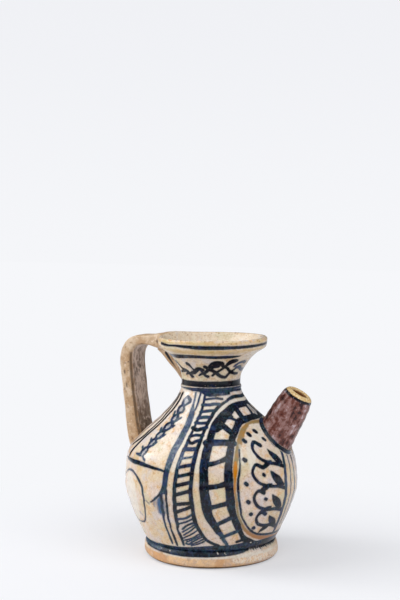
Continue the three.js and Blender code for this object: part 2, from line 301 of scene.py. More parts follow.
# The framed field under the spout: a dark line, the ochre ring, and a wide dark ring with pale cells.
brush("cobalt", [(35.2, 107, 1.2), (36, 103, 1.2), (37.2, 92, 1.6), (38, 87, 2), (38.8, 83, 2),
                 (39, 77, 2.4), (38.7, 70, 2.2), (38.2, 65, 2), (37.4, 60, 2), (36.6, 55, 2),
                 (35.8, 51, 1.6), (34, 46.5, 1.6), (32, 43, 1.8), (29.5, 39, 1.6), (27.5, 36.5, 1.8),
                 (24, 33, 1.8), (20, 30.5, 1.8), (15, 28.7, 2), (9, 27.5, 2), (2, 26.5, 2), (-4, 25.8, 2),
                 (-16, 25.2, 2)], 0.92)
brush("ochre", [(-16, 124.5, 3), (5, 126, 2.8), (15, 125.6, 2.8), (18, 124.2, 2.8), (22, 122.5, 3),
                (25.7, 120.6, 3.8), (29.5, 117.2, 4.4), (33.4, 112.2, 4.6), (35.4, 108.2, 4.6),
                (36.9, 104.8, 4.6), (38.3, 100.8, 4.4), (39.5, 97.3, 4), (40.2, 93, 4), (40.6, 88, 4),
                (41, 84, 3), (41.3, 78, 2.4), (41.2, 73, 2.4), (40.3, 67, 2.4), (39.6, 62, 2.4),
                (39, 57, 2.4), (38, 52, 2.4), (36.5, 47, 2.8), (34.5, 42.5, 3), (31.5, 37.5, 3.2),
                (28, 33.5, 3.4), (24, 30.3, 3.6), (19.5, 27.8, 3.8), (14, 25.7, 4.2), (8, 24.3, 4.4),
                (2, 23, 4.6), (-4, 22.2, 4.6), (-16, 21.8, 4.6)])
brush("amber", [(39.6, 97, 2), (40.2, 93, 3.6), (40.6, 88, 3.6), (40.8, 84, 2)])
brush("cobalt", [(-16, 129.6, 4.5), (10, 129.3, 4.5), (18, 128.5, 5), (25, 127, 5), (31, 123, 4.4),
                 (36, 118.5, 5), (40, 113, 5.2), (41.5, 108, 6), (43.2, 103, 6.6), (44.1, 98, 6.7),
                 (44.9, 93, 7.2), (45.1, 88, 7.7), (45, 82, 8), (44.7, 76, 7.4), (44.4, 70, 7.4),
                 (43.8, 64, 8), (43, 58, 7.2), (41.5, 52, 6), (39.6, 46, 6), (37, 40, 6), (35, 36, 4.8),
                 (32.3, 31, 4), (29.5, 27, 5), (24, 23.5, 5), (19, 20.5, 5.5), (8, 19.2, 4), (-16, 16.5, 3)],
      1)
brush("cobalt", [(-16, 140, 4.8), (12, 140.1, 5), (20, 139.3, 5.2), (27, 137.8, 5.4), (34, 135.2, 6),
                 (42, 132.3, 6.5), (47.5, 128.5, 7), (54, 124, 5.4), (56.5, 119, 5.6), (58, 113, 6.4),
                 (59.5, 107, 7.5), (60.5, 100, 7.7), (61.1, 94, 7.6), (61.1, 88, 7.5), (60.9, 81, 8),
                 (60.8, 75, 8.2), (60.1, 68, 8.5), (59.3, 62, 9), (58.7, 56, 8.2), (57.5, 50, 7.5),
                 (55.3, 45, 6.9), (53, 40, 6), (50.5, 35, 5.3)], 1)
# The ring's tail is laid lighter, partly as thin cobalt and partly as a painted highlight.
brush("cobalt", [(50.5, 35, 5), (47.5, 30.5, 3.5), (45.5, 26, 3), (43, 22.5, 2.5), (42, 19, 2.5)], 0.66)
brush("cobalt", [(46, 125, 3), (52, 124, 4), (57, 122.5, 2)], 1)
ring_rungs = [
    ([(16.5, 130, 5.6), (18.5, 139, 5.6)], 1), ([(28, 129, 2.2), (34, 131, 2.4), (40, 131, 2.8)], 0.85),
    ([(30, 132, 2), (33, 134, 2.4)], 0.9), ([(-4.5, 130, 3.6), (-8.5, 139, 3.4)], 0.95),
    ([(-15.3, 131, 7), (-15.3, 139, 7)], 0.08), ([(38, 120, 4.5), (45, 125, 4.5), (52, 122, 4)], 1),
    ([(39, 112, 5.2), (48, 112.8, 4.8), (60, 112.5, 5.4)], 0.95),
    ([(45, 101, 4), (52, 97.6, 3.4), (60, 95.5, 4.4)], 1),
    ([(47.5, 79.3, 5), (53, 77.4, 4), (58, 76.8, 4.4)], 1), ([(46.5, 62.3, 4.2), (57, 58.5, 4)], 0.95),
    ([(43, 48.5, 4), (52, 42.5, 3.8)], 0.95), ([(35.5, 35.7, 3.4), (48, 29.5, 3)], 0.8),
    ([(31, 25.4, 2.6), (35, 24.4, 2.6)], 1),
    ([(26, 21, 5), (40, 19.4, 4), (56, 19.6, 3.4), (70, 18.6, 2.4)], 0.85),
]
for marks, tone in ring_rungs:
    brush("cobalt", marks, tone)

# The narrow ladder outside the ring: two rails, its rungs, and a pale stripe on each side.
brush("cobalt", [(-16, 146.9, 2.6), (18, 146.7, 2.6), (25, 145.6, 2.2), (30, 144, 2), (35, 142.9, 2),
                 (40, 141.4, 2.2), (45, 139.7, 2.4), (50, 137.2, 2.4), (53, 135.5, 2.4), (55, 133.3, 2.4),
                 (59, 129, 2.3), (61, 126, 2.3), (62.8, 122.5, 2.3), (63.8, 120, 2.4), (65.1, 115, 2.9),
                 (66.4, 110, 3.4), (67.4, 105, 3.8), (67.9, 100, 4), (68.4, 95, 3.8), (68.7, 90, 3.6),
                 (68.8, 85, 3.4), (69, 80, 3.4), (69.2, 75, 3.6), (69, 70, 3.7), (68.6, 65, 3.9),
                 (68, 60, 3.5), (67.8, 55, 3.2), (67.5, 50, 3.7), (66.8, 45, 3.7), (66, 41, 3.4),
                 (64.4, 37, 3.2), (62.8, 33, 3), (60.6, 29, 2.6), (58, 26, 2.6), (55, 24, 2.6),
                 (50, 21.5, 2.6)], 0.96)
brush("cobalt", [(66.6, 150, 2), (67.5, 145, 2), (68.6, 140, 2.2), (70.2, 135, 2.6), (72.5, 130, 2.4),
                 (74, 125, 2), (74.8, 120, 2.2), (75.8, 115, 2.6), (76.4, 110, 3), (77.5, 105, 3.2)], 0.9)
# This stretch of the outer rail is laid light, partly thin cobalt and partly a painted reflection of the
# lamp.
brush("cobalt", [(77.5, 105, 3.2), (78, 100, 3.6), (78.9, 95, 3.4), (79.2, 91.5, 3)], 0.5)
brush("cobalt", [(79.3, 91, 3.2), (79.6, 85, 3.5), (80, 80, 3.3), (80.1, 75, 3.5), (80.1, 70, 3.4),
                 (80.1, 65, 3.8), (80, 60, 3.7), (80.4, 55, 3.7), (80.5, 50, 3.4), (80.4, 45, 3.4),
                 (80.3, 40, 2.8), (81, 36, 2), (80, 31, 3), (79, 26, 2.6), (78.6, 21, 2.2)], 0.95)
ladder_rungs = [
    ([(36, 146.2), (45, 147), (56, 146.6), (66, 146)], 1.8, 0.85),
    ([(43, 142), (50, 142.3), (60, 141.6), (69, 141.5)], 2.6, 0.62),
    ([(52, 137), (60, 136.8), (70, 135.8)], 2.3, 0.78), ([(57, 131.8), (64, 132), (72, 130.8)], 2.6, 0.74),
    ([(60, 127.6), (67, 127), (74, 127.3)], 2.2, 0.85),
    ([(62, 124), (66, 122.8), (70, 121.8), (75.5, 123.5)], 2.8, 1),
    ([(64, 118), (70, 118.3), (75.5, 117)], 2.2, 0.92),
    ([(66, 114.2), (70, 113), (72, 111.8), (76, 114)], 2.4, 1),
    ([(68, 107.6), (72, 107.2), (77, 107)], 3.2, 0.68), ([(69, 101.6), (77, 99.8)], 1.7, 0.5),
    ([(70, 94.8), (78, 92.5)], 2.8, 0.85), ([(69.5, 87.8), (78, 85)], 2.8, 1),
    ([(70, 80.3), (79, 77)], 3.2, 1), ([(70, 73), (79, 69)], 3.2, 1), ([(69.5, 62.3), (79, 60.3)], 3, 1),
    ([(69, 59), (75, 55.5), (80.5, 52.3)], 3, 1), ([(69, 51.5), (73, 48), (80, 46.3)], 2, 0.8),
    ([(68.5, 44), (73, 41.3), (77, 37)], 1.8, 0.9), ([(66.8, 40.5), (71, 36), (77, 31)], 1.4, 0.85),
    ([(65, 33), (70, 29), (77, 26)], 1.4, 0.85), ([(63, 30), (69, 26), (73, 23)], 1.4, 0.8),
    ([(61, 26), (66, 23), (72, 21)], 1.4, 0.85), ([(72, 23), (74, 22), (76, 22.6)], 2, 0.7),
    ([(68.8, 47.5), (73, 44.6), (80, 41.6)], 1.6, 0.85), ([(67.6, 42.3), (72, 38.4), (77.5, 34)], 1.4, 0.8),
    ([(66, 36.7), (70.5, 32.5), (77, 28.4)], 1.3, 0.85),
    ([(64, 31.5), (69.5, 27.4), (75.5, 24.4)], 1.3, 0.8), ([(62, 28), (67.5, 24.4), (72.5, 22)], 1.3, 0.85),
]
for marks, width, tone in ladder_rungs:
    brush("cobalt", marks, tone, width)
brush("pale", [(-16, 144, 2.6), (20, 143.4, 2.4), (30, 141.6, 2.8), (40, 139, 2.7), (50, 134.2, 3.9),
               (55, 130, 3.9), (61.1, 120, 3), (63.3, 110, 3), (64.9, 100, 3.3), (65.6, 90, 4)])
brush("pale", [(71.6, 150, 3.1), (72.9, 140, 2.9), (76, 130, 3.1), (77.5, 120, 3.3), (79.3, 110, 3.3),
               (81.2, 100, 4.4), (82.3, 90, 4.5)])
for height, turn, far_turn in ((143.8, 48, 66), (138.8, 56, 68), (134.3, 60, 70), (129.2, 64, 72),
                               (119.8, 66, 73), (103, 70, 75), (98, 71, 76)):
    brush("pale", [(turn, height), (far_turn, height)], width=2, shake=0.5)
# A pale strip beside the dark line, painted in as a highlight of the lamp on the glaze.
brush("pale", [(33.8, 110, 2), (34.6, 103, 3), (34.6, 95, 3)])
brush("cobalt", [(75.5, 151, 1.6), (77, 144, 1.8), (79, 137, 1.4)], 0.75)
brush("pale", [(79.4, 150, 1.6), (81.8, 139, 1.8)])

# The broad stripe at the side, which parts low down into thin lines with a blue bloom beside them.
# The stripe's upper part is laid in a light tone, partly thin cobalt and partly a painted reflection of the
# lamp on the shoulder.
brush("cobalt", [(85.3, 151, 1.8), (84.6, 145, 1.9), (84.4, 140, 2.4), (82.5, 135, 5), (82.2, 130, 5.8),
                 (82.4, 125, 5.9), (82.8, 120, 6.1), (83.1, 115, 6.4), (83.9, 110, 6.6), (85, 105, 6.6),
                 (85.5, 100, 6.3), (86, 95, 6), (86.5, 90, 5.6)], 0.52)
brush("cobalt", [(86.5, 90, 5.5), (87, 85, 5.3), (87.3, 80, 5.3), (87.5, 75, 5.4), (87.7, 71, 5.6)], 0.8)
brush("cobalt", [(85.9, 72, 2), (86, 60, 2.1), (86.1, 55, 2.2), (86.5, 50, 2), (86.6, 45, 2.1),
                 (86.2, 40, 1.8), (86.4, 35, 1.6), (85.7, 30, 2.2), (85.2, 25, 2.4), (84.8, 20, 2)], 0.95)
brush("cobalt", [(89.3, 72, 2.4), (89.7, 66, 2.8), (89.5, 60, 3), (90, 55, 3), (89.6, 51, 3.2),
                 (90.4, 45, 2.2), (90.4, 40, 2), (90.2, 35, 1.9), (89.8, 30, 2), (89.3, 25, 2.4),
                 (89.2, 21, 1.6)], 0.88)
brush("bloom", [(89.5, 70, 2), (90.4, 64, 5.6), (91, 58, 8.8), (91.8, 51.6, 6)], shake=1)
brush("bloom", [(95, 64, 0.8), (96.4, 60, 1.6), (96, 56, 0.8)], shake=1)
brush("bloom", [(87.8, 62, 1.2), (87.9, 51, 1.6)])

# The side panel: a cross line, a small tail, a thin oval, a braid down the shoulder and long lines.
brush("cobalt", [(88, 87.6, 1.6), (92, 88.8, 2), (97, 89.3, 2.6), (103, 90, 3), (108, 90.3, 3.6),
                 (114, 90.7, 3.8), (120, 90.6, 3.8), (126, 90.8, 3.2), (131, 91, 2.4), (136, 91.5, 1.6)],
      0.97)
brush("cobalt", [(89.8, 71, 1.8), (91.3, 67.3, 1.8), (94, 64, 1.8), (97, 61, 1.6), (99.6, 58.8, 1)], 0.95)
brush("cobalt", [(101, 57, 0.8), (104, 59.5, 0.8)], 0.8)
brush("cobalt", [(105.8, 62, 2.4), (106.3, 67, 2.6), (107.7, 72, 2.8), (110.5, 75.5, 2.6), (115, 79.3, 2.3),
                 (120.5, 82, 2.2), (126, 82, 1.8), (131, 80, 1.4), (134, 78, 1), (140, 71, 1.2),
                 (142.5, 62, 1.2), (142, 52, 1.2), (138, 43, 1.2), (131, 37, 1.2), (125, 35.3, 1.2),
                 (118, 35.8, 1.3), (113.5, 37.5, 1.5), (110.5, 41.5, 1.6), (108.5, 46.5, 1.6),
                 (107.3, 51.5, 1.8), (106.2, 57, 2), (105.8, 62, 2.4)], 0.9)
brush("pale", [(126, 74, 12), (123, 66, 22), (124, 52, 22), (124, 43, 12)], shake=1)
brush("bloom", [(113.5, 43.5, 0.6), (116, 45.5, 0.6)])
braid = [(100.5, 147), (101.5, 140), (103, 133), (104.3, 126), (106, 119), (108.2, 112), (111, 105),
         (113.6, 98)]
for (turn, height), (next_turn, next_height) in zip(braid, braid[1:]):
    brush("cobalt",
          [(turn * 0.7 + next_turn * 0.3, height - 2.4), (turn * 0.3 + next_turn * 0.7, height - 4.6)], 0.2,
          3.2)
    for side, reach in ((-1, 3.7), (1, 3.3)):
        bulge = (turn + next_turn) / 2 + side * degrees_of(reach, height - 3)
        brush("cobalt", [(turn - side, height + 0.8, 1.9), (bulge, height - 3.4, 2.9),
                         (next_turn + side, next_height - 0.8, 1.9)], 0.85, shake=1.1)
barbs = [((100.5, 127), (95, 130)), ((102.3, 120.5), (97.8, 123.5)), ((104.6, 113), (101, 116)),
         ((107.4, 107), (104.8, 109.5)), ((106, 130.5), (112.5, 134)), ((109, 117.5), (113, 120.5)),
         ((111.8, 109), (115, 111.5)), ((114, 102), (118.5, 104)), ((112, 97), (108, 94)),
         ((114.6, 97.5), (121, 97.5))]
for (turn, height), (tip_turn, tip_height) in barbs:
    brush("cobalt", [(turn, height, 2.6), (tip_turn, tip_height, 1.7)], 0.7, shake=0.8)
long_lines = [
    ([(120, 149), (120, 143), (120, 138), (121, 131), (122, 126), (122.2, 120), (123.5, 115.5),
      (125.5, 111.5), (127.3, 107), (128.5, 102), (130, 98), (131.5, 94.5)], 3.3, 1.15),
    ([(130, 148), (130.5, 141), (128.5, 133), (127.8, 125), (127.8, 118), (131, 110), (137, 103)], 3.1, 1.1),
    ([(138, 148), (137.5, 138), (138, 125), (141, 112), (146, 100)], 2.6, 0.95),
]
for marks, width, tone in long_lines:
    brush("cobalt", marks, tone, width, shake=0.5)

# The neck: a dense band over the pale seam line, and under it a thinner wash that runs into the stripes.
brush("cobalt", [(-16, 159, 5.2), (60, 158.9, 5.2), (120, 158.9, 5), (181, 158.9, 4.8)], 1.25, shake=0.3)
brush("cobalt", [(-16, 153.5, 4.2), (17, 153.5, 4.2), (24, 153.2, 4.8), (60, 153, 5), (72, 153.6, 4),
                 (88, 153.9, 3.2), (100, 154.1, 2.8), (112, 154.3, 2), (140, 154.4, 1.6), (181, 154.4, 1.6)],
      0.82, shake=0.3)
brush("cobalt", [(20, 150.6, 2), (48, 149.9, 2.2), (64, 150, 2.2), (72, 151.6, 1)], 0.9)

# The funnel: two lines round the lip, and a garland of crossing knobbed strokes between lip and neck.
brush("cobalt", [(-16, 194.7, 1.8), (5, 194.4, 2.2), (30, 194, 2.6), (50, 194, 3.2), (70, 194.2, 3.2),
                 (90, 194.8, 2.4), (100, 195, 1.8), (108, 194.6, 1.8), (115, 195, 2.2), (124, 195.5, 2.4)],
      1)
brush("cobalt", [(18, 185.3, 1), (25, 185, 2), (35, 184.8, 2.8), (50, 184.7, 3), (65, 185, 3),
                 (80, 185.2, 3.2), (95, 184.8, 3.6), (110, 184.2, 3.6), (125, 184, 3.2), (140, 183.4, 3),
                 (150, 183, 2.8), (160, 182.8, 2)], 0.97)
brush("straw", [(-16, 197.6, 2), (40, 197.6, 2.4), (100, 197.6, 2.2), (181, 197.6, 1.4)], shake=0.6)
brush("straw", [(-16, 190.6, 2), (30, 190, 3.2), (70, 189.6, 3.6), (110, 189.6, 3), (150, 189.4, 2)],
      shake=0.8)
garland = [
    ([(-14, 170.8, 3), (-5, 172, 3), (4, 174.3, 3), (11, 174, 2.6)], 0.6),
    ([(-6, 178, 2.8), (2, 179.2, 2.8), (10, 178, 2.6), (16, 175.5, 2.4)], 0.6),
    ([(17, 180.3, 2.6), (22, 180.3, 4.4), (27, 179.5, 5), (30.5, 177.5, 4), (33, 175.5, 2.4), (38, 173, 2.4),
      (44, 171, 2.4), (50, 168.8, 2.2), (54, 167.3, 2)], 1),
    ([(12, 172.5, 2.2), (18, 170.8, 2.2), (24, 171.5, 2.4), (29, 173.8, 2.4), (34, 175, 2.4),
      (38, 176, 2.4)], 0.9),
    ([(37, 175.5, 2), (40, 178, 4), (46, 178.6, 4.6), (52, 178.4, 4.6), (56, 176.8, 4.4), (60, 174, 3.6),
      (64, 171.5, 3), (69, 169.3, 2.4), (75, 168.3, 2), (79, 167.2, 1.4)], 1),
    ([(45, 175.8, 2.6), (52, 175, 2.6), (58, 173.5, 2.6)], 0.85),
    ([(-1, 167.8, 2), (6, 168, 2.4), (13, 168.8, 2.4), (20, 169.5, 2.4), (24, 166.8, 2.6), (28, 165, 2.6),
      (33, 165.2, 2.6), (38, 166.2, 2.8), (44, 168.3, 3), (50, 170.3, 3), (56, 172.2, 3), (61, 173, 3)],
     0.92), ([(61.5, 166.5, 2.6), (66, 167.3, 2.4), (70, 169.5, 2.2), (74, 171, 1.8)], 0.95),
    ([(64.5, 174.8, 2.8), (67, 175.6, 2.8)], 0.95),
    ([(70, 172.2, 2), (74, 173, 3), (79, 173.2, 3.6), (84, 171.5, 3.8), (89, 170, 3.6), (93, 169.3, 3),
      (98, 168.3, 2.2), (104, 168.3, 1.8), (110, 167.2, 1.2)], 1),
    ([(88, 172, 1.8), (91, 174.3, 2), (94, 176.5, 3), (97, 177.6, 3.4)], 1),
    ([(91.5, 165.7, 2), (94.5, 165.9, 2.6), (97.5, 167, 2.4), (101, 169, 2)], 0.95),
    ([(100, 169, 2), (105, 170.5, 2.8), (110, 171.2, 3.2), (115, 171.7, 3.2), (121, 174, 2.6),
      (126, 177, 3.2), (131, 177.6, 2.6), (140, 176.8, 1.8), (150, 176.2, 1.4)], 0.97),
    ([(110, 170.3, 2.2), (120, 169.6, 2.2), (130, 168.9, 1.6), (145, 168, 1.4)], 0.9),
]
for marks, tone in garland:
    brush("cobalt", marks, 1.18 * tone, shake=0.5)

# The field itself: a leafy spray with scrolls and dots. The pale patch below the spout is a painted
# highlight.
brush("pale", [(10, 116, 7), (22, 112, 8), (27, 101, 9), (28, 90, 6)], shake=1.2)
STEM_TURN = -2.0
brush("cobalt", [(STEM_TURN - 1.5, 29, 4.6), (STEM_TURN, 50, 5), (STEM_TURN + 1, 72, 4.6),
                 (STEM_TURN, 92, 4), (STEM_TURN - 2, 106, 3)], 0.8)
for turn, width, tone in ((-8.6, 1.6, 0.55), (-15.3, 2, 0.6)):
    brush("cobalt", [(turn, 33), (turn + 0.8, 60), (turn, 85), (turn - 0.4, 99)], tone, width=width,
          shake=0.5)
scrolls = [
    [(-2, 33, 3.4), (7, 36.5, 3.2), (15, 37.5, 3), (21.5, 41, 2.8), (23.5, 47, 2.8), (20, 51, 2.8),
     (16, 48.5, 3.4)],
    [(-1, 49, 3.4), (8, 52, 3.2), (17, 53.5, 3), (25, 58.5, 2.8), (28, 66, 2.8), (25, 71.5, 2.8),
     (20.5, 69, 3.6)],
    [(-1, 69, 3.4), (8, 72.5, 3), (17, 74.5, 2.8), (25.5, 80, 2.8), (28.5, 88, 2.8), (25.5, 93.5, 2.8),
     (20.5, 91, 3.6)],
    [(-1, 88, 3.2), (7, 91.5, 2.8), (15, 94.5, 2.8), (22, 100, 2.8), (24, 107, 2.8), (20.5, 111.5, 2.8),
     (16, 108.5, 3.6)],
]
for marks in scrolls:
    brush("cobalt", marks, 0.97, shake=0.4)
leaves = [((1, 36), (12, 46), 6.2), ((2, 53), (13.5, 66), 7.4), ((2, 73), (14, 87), 7.6),
          ((1, 92), (11, 104.5), 6.6), ((13, 55), (23, 49.5), 4.8), ((14, 75.5), (24, 70.5), 4.8),
          ((12, 95), (20, 89.5), 4.6), ((8, 37), (17, 31.5), 4.6), ((-3, 104), (2, 114), 5)]
for (turn, height), (tip_turn, tip_height), width in leaves:
    bend = degrees_of(1.6, height)
    brush("cobalt", [(turn, height, 1.8),
                     (turn * 0.65 + tip_turn * 0.35 + bend, height * 0.65 + tip_height * 0.35, width),
                     (turn * 0.3 + tip_turn * 0.7 + bend, height * 0.3 + tip_height * 0.7, width * 0.7),
                     (tip_turn, tip_height, 1)], 1)
for turn, height, size in ((31.5, 62, 3.4), (33, 78, 3.4), (32.5, 98, 3.6), (28, 112.5, 3.4), (21, 117, 3.4),
                           (12, 118.5, 3.6), (28, 50, 3.2), (23, 36, 3), (8, 112, 3.2), (19.5, 84, 3),
                           (18.5, 62.5, 3)):
    brush("cobalt", [(turn, height), (turn + 0.9, height + 1)], 0.97, width=size)

# Chips and worn places where the buff clay shows.
for turn, height, length, size in ((12, 199, 3, 1.6), (-14, 198.6, 5, 2), (70, 199.6, 2, 1.2),
                                   (-60, 199, 6, 1.8), (-90, 12, 4, 2.2), (165, 60, 1.4, 1.6),
                                   (-120, 96, 1, 1.4), (98.6, 9.4, 0.3, 0.8), (40, 199.7, 4, 1),
                                   (105, 199.4, 6, 1.3)):
    brush("bare", [(turn, height, size), (turn + length, height + 0.4, size * 0.6)], shake=0.8, both=False)

# The amber runs on thinly below its pool.
brush("amber", [(40.7, 85, 1.8), (41.1, 78, 2), (41.2, 72, 1.4), (40.6, 66, 0.8)])

# Tin glaze: an opaque cream lead glaze on buff clay, fired to a soft gloss. It shows the clay where it is
# thin, whitens where it pooled and where a highlight is painted in, and holds cobalt, ochre and bare chips
# where the brushwork says so.
# The foot was only splashed with it, so its lower edge is bare biscuit with lime spots.
def linear(hex_value):
    """A colour written in sRGB hex, as the linear values that a shader takes."""
    channels = [int(hex_value[i:i + 2], 16) / 255 for i in (0, 2, 4)]
    return [c / 12.92 if c <= 0.04045 else ((c + 0.055) / 1.055) ** 2.4 for c in channels] + [1]


def node(owner, kind, links=None, out=0, **settings):
    """Adds a node with its settings and links to a material or world, and gives one of its outputs."""
    made = owner.node_tree.nodes.new("ShaderNode" + kind)
    for key, value in settings.items():
        setattr(made, key, value)
    for socket, source in (links or {}).items():
        if isinstance(source, bpy.types.NodeSocket):
            owner.node_tree.links.new(source, made.inputs[socket])
        else:
            made.inputs[socket].default_value = source
    return made.outputs[out]


# Sockets of the Mix node that take the two colours and give the result.
MIX_UNDER, MIX_OVER, MIX_RESULT = 6, 7, 2


def coat(owner, under, over, mask, low, high, share=1.0, run="SMOOTHSTEP"):
    """Lays a colour over another: none of it where the mask is low, and its share where it is high."""
    amount = node(owner, "MapRange", {0: mask, 1: low, 2: high, 4: share}, interpolation_type=run)
    links = {0: amount}
    for socket, tint in ((MIX_UNDER, under), (MIX_OVER, over)):
        links[socket] = linear(tint) if isinstance(tint, str) else tint
    return node(owner, "Mix", links, MIX_RESULT, data_type="RGBA")


def specks(owner, place, apart_mm, size_mm, kept, strength=1.0):
    """Small round spots at random places, of which a share is kept."""
    distance = node(owner, "TexVoronoi", {"Vector": place, "Scale": 1 / (apart_mm * MM)}, "Distance")
    chance = node(owner, "SeparateColor", {0: distance.node.outputs["Color"]})
    reach = size_mm / apart_mm
    spot = node(owner, "MapRange", {0: distance, 1: reach, 2: 0.4 * reach, 4: strength},
                interpolation_type="SMOOTHSTEP")
    pick = node(owner, "Math", {0: chance, 1: 1 - kept}, operation="GREATER_THAN")
    return node(owner, "Math", {0: spot, 1: pick}, operation="MULTIPLY")


def edge_of(owner, layer, ragged, share):
    """The distance in mm to the edge of a painted layer, frayed by a share of the ragged cloud."""
    distance = node(owner, "Attribute", out="Fac", attribute_name=layer)
    return node(owner, "Math", {0: ragged, 1: share, 2: distance}, operation="MULTIPLY_ADD")


def new_glaze(name):
    """A material with the refraction of a lead glaze, its shader, and the place on the pot that it reads."""
    material = bpy.data.materials.new(name)
    material.use_nodes = True
    shader = material.node_tree.nodes["Principled BSDF"]
    shader.inputs["IOR"].default_value = 1.43
    shader.inputs["Specular IOR Level"].default_value = 0.38
    return material, shader, node(material, "TexCoord", out="Object")


def finished(material, shader, colour, smoothest, dulled, raised, depth_mm):
    """Joins colour, roughness and relief to the shader. The last two are sums of clouds and their shares."""
    sums = []
    for total, shares in ((smoothest, dulled), (0, raised)):
        for cloud, share in shares:
            total = node(material, "Math", {0: cloud, 1: share, 2: total}, operation="MULTIPLY_ADD")
        sums.append(total)
    bump = node(material, "Bump", {"Height": sums[1], "Strength": 0.5, "Distance": depth_mm * MM})
    for source, socket in ((colour, "Base Color"), (sums[0], "Roughness"), (bump, "Normal")):
        material.node_tree.links.new(source, shader.inputs[socket])
    return material


def tin_glaze(name, low, high, body, bare_below_mm=None, smoothest=0.06):
    """Cream glaze, low and high for its colour down the pot and up it, body where the clay shows through."""
    material, shader, place = new_glaze(name)
    # Each cloud of the mottling: where it is read, its size in mm, its detail and its roughness.
    stretched = node(material, "Mapping", {"Vector": place, "Scale": (1, 1, 0.35)})
    sizes = {"broad": (place, 24, 4, 0.55), "patch": (place, 7, 5, 0.65), "mottle": (place, 3.6, 5, 0.72),
             "grain": (place, 1.1, 2, 0.55), "fray": (place, 1.8, 4, 0.65), "rosy": (place, 40, 3, 0.55),
             "tinge": (place, 17, 3, 0.55), "hue": (place, 6, 3, 0.6), "deep": (place, 13, 4, 0.6),
             "hair": (stretched, 2.2, 5, 0.75)}
    cloud = {}
    for kind, (where, size_mm, detail, rough) in sizes.items():
        cloud[kind] = node(material, "TexNoise", {"Vector": where, "Scale": 1 / (size_mm * MM),
                                                  "Detail": detail, "Roughness": rough})
    height = node(material, "SeparateXYZ", {0: place}, "Z")
    in_mm = node(material, "Math", {0: height, 1: MM}, operation="DIVIDE")
    wavy = node(material, "Math", {0: cloud["broad"], 1: 60, 2: in_mm}, operation="MULTIPLY_ADD")
    ragged = node(material, "Math", {0: cloud["fray"], 1: 2.2, 2: -1.1}, operation="MULTIPLY_ADD")

    # The ground: body clay through the thin places, then iron brown, pooled white, a green and a cool
    # tinge, and a fine grain of dull and clear glaze. Each has its cloud, start, end and share.
    ground = coat(material, low, "DECABA", cloud["rosy"], 0.45, 0.58)
    ground = coat(material, ground, high, wavy, 114, 158)
    for tint, kind, start, end, share in (
            (body, "patch", 0.47, 0.7, 1), ("BC8C50", "mottle", 0.53, 0.68, 0.42),
            ("EFE7DF", "mottle", 0.46, 0.32, 0.36), ("CBC59C", "tinge", 0.54, 0.66, 0.5),
            ("CEC8CE", "tinge", 0.46, 0.36, 0.5), ("BF976C", "grain", 0.54, 0.74, 0.3),
            ("F3ECE4", "grain", 0.46, 0.28, 0.35)):
        ground = coat(material, ground, tint, cloud[kind], start, end, share)
    stain = node(material, "Math", {0: cloud["patch"], 1: 0.35, 2: cloud["grain"]}, operation="MULTIPLY_ADD")
    ground = coat(material, ground, "96704A", stain, 0.76, 0.9, 0.5)

    # Washes under the cobalt. Each has its fray, its soft edge in mm and its share.
    tawny = coat(material, "857240", "9E7434", cloud["patch"], 0.4, 0.62)
    tawny = coat(material, tawny, "A8703C", in_mm, 44, 28)
    for layer, tint, fray, soft, share in (
            ("straw", "D8AE58", 1, 1.2, 0.45), ("bloom", "28527A", 1.6, 2.4, 1),
            ("ochre", tawny, 1, 0.8, 0.92), ("amber", "C47A0C", 1, 0.8, 1)):
        ground = coat(material, ground, tint, edge_of(material, layer, ragged, fray), soft, -soft, share)
    cobalt_edge = edge_of(material, "cobalt", ragged, 0.5)
    pale_edge = edge_of(material, "pale", ragged, 1)
    ground = coat(material, ground, "707E8C", cobalt_edge, 1.5, 0.2, 0.32)
    # The pale layer: paler glaze, and in places a painted highlight of the lamps.
    ground = coat(material, ground, "E4DFD2", pale_edge, 1.1, -1.1, 0.62)

    # Cobalt: washed grey-blue where the brush ran dry, slate, and near black where it was loaded.
    cobalt = node(material, "MapRange", {0: cobalt_edge, 1: 0.5, 2: -0.3}, interpolation_type="SMOOTHSTEP")
    tone = node(material, "Attribute", out="Fac", attribute_name="cobalt_tone")
    load = node(material, "Math", {0: cloud["hair"], 1: 1.1, 2: tone}, operation="MULTIPLY_ADD")
    load = node(material, "Math", {0: cloud["patch"], 1: 0.6, 2: load}, operation="MULTIPLY_ADD")
    washed = coat(material, "828C98", "62748C", cloud["hue"], 0.42, 0.6)
    slate = coat(material, "2C4855", "2E3B5B", cloud["hue"], 0.42, 0.58)
    black = coat(material, "03131A", "0B0A1A", cloud["hue"], 0.4, 0.6)
    blue = coat(material, washed, slate, load, 1.15, 1.5)
    blue = coat(material, blue, black, load, 1.58, 1.9)
    blue = coat(material, blue, "1B3560", cloud["deep"], 0.55, 0.68, 0.5)
    worn_through = node(material, "MapRange", {0: load, 1: 1.3, 2: 1.05, 4: 0.55},
                        interpolation_type="SMOOTHSTEP")
    glint = specks(material, place, 2.6, 0.6, 0.25, 0.25)
    hidden = node(material, "Math", {0: worn_through, 1: glint}, operation="MAXIMUM")
    shown = node(material, "Math", {0: 1, 1: hidden}, operation="SUBTRACT")
    cover = node(material, "Math", {0: cobalt, 1: shown}, operation="MULTIPLY")
    colour = coat(material, ground, blue, cover, 0, 1, 1, "LINEAR")

    pinhole = specks(material, place, 3.4, 0.45, 0.4)
    colour = coat(material, colour, "7A5A40", pinhole, 0, 1, 0.7, "LINEAR")
    lip_flecks = specks(material, place, 2.6, 1.1, 0.4, 0.7)
    colour = coat(material, colour, "8C5A30", in_mm, 194, 198.5, lip_flecks)
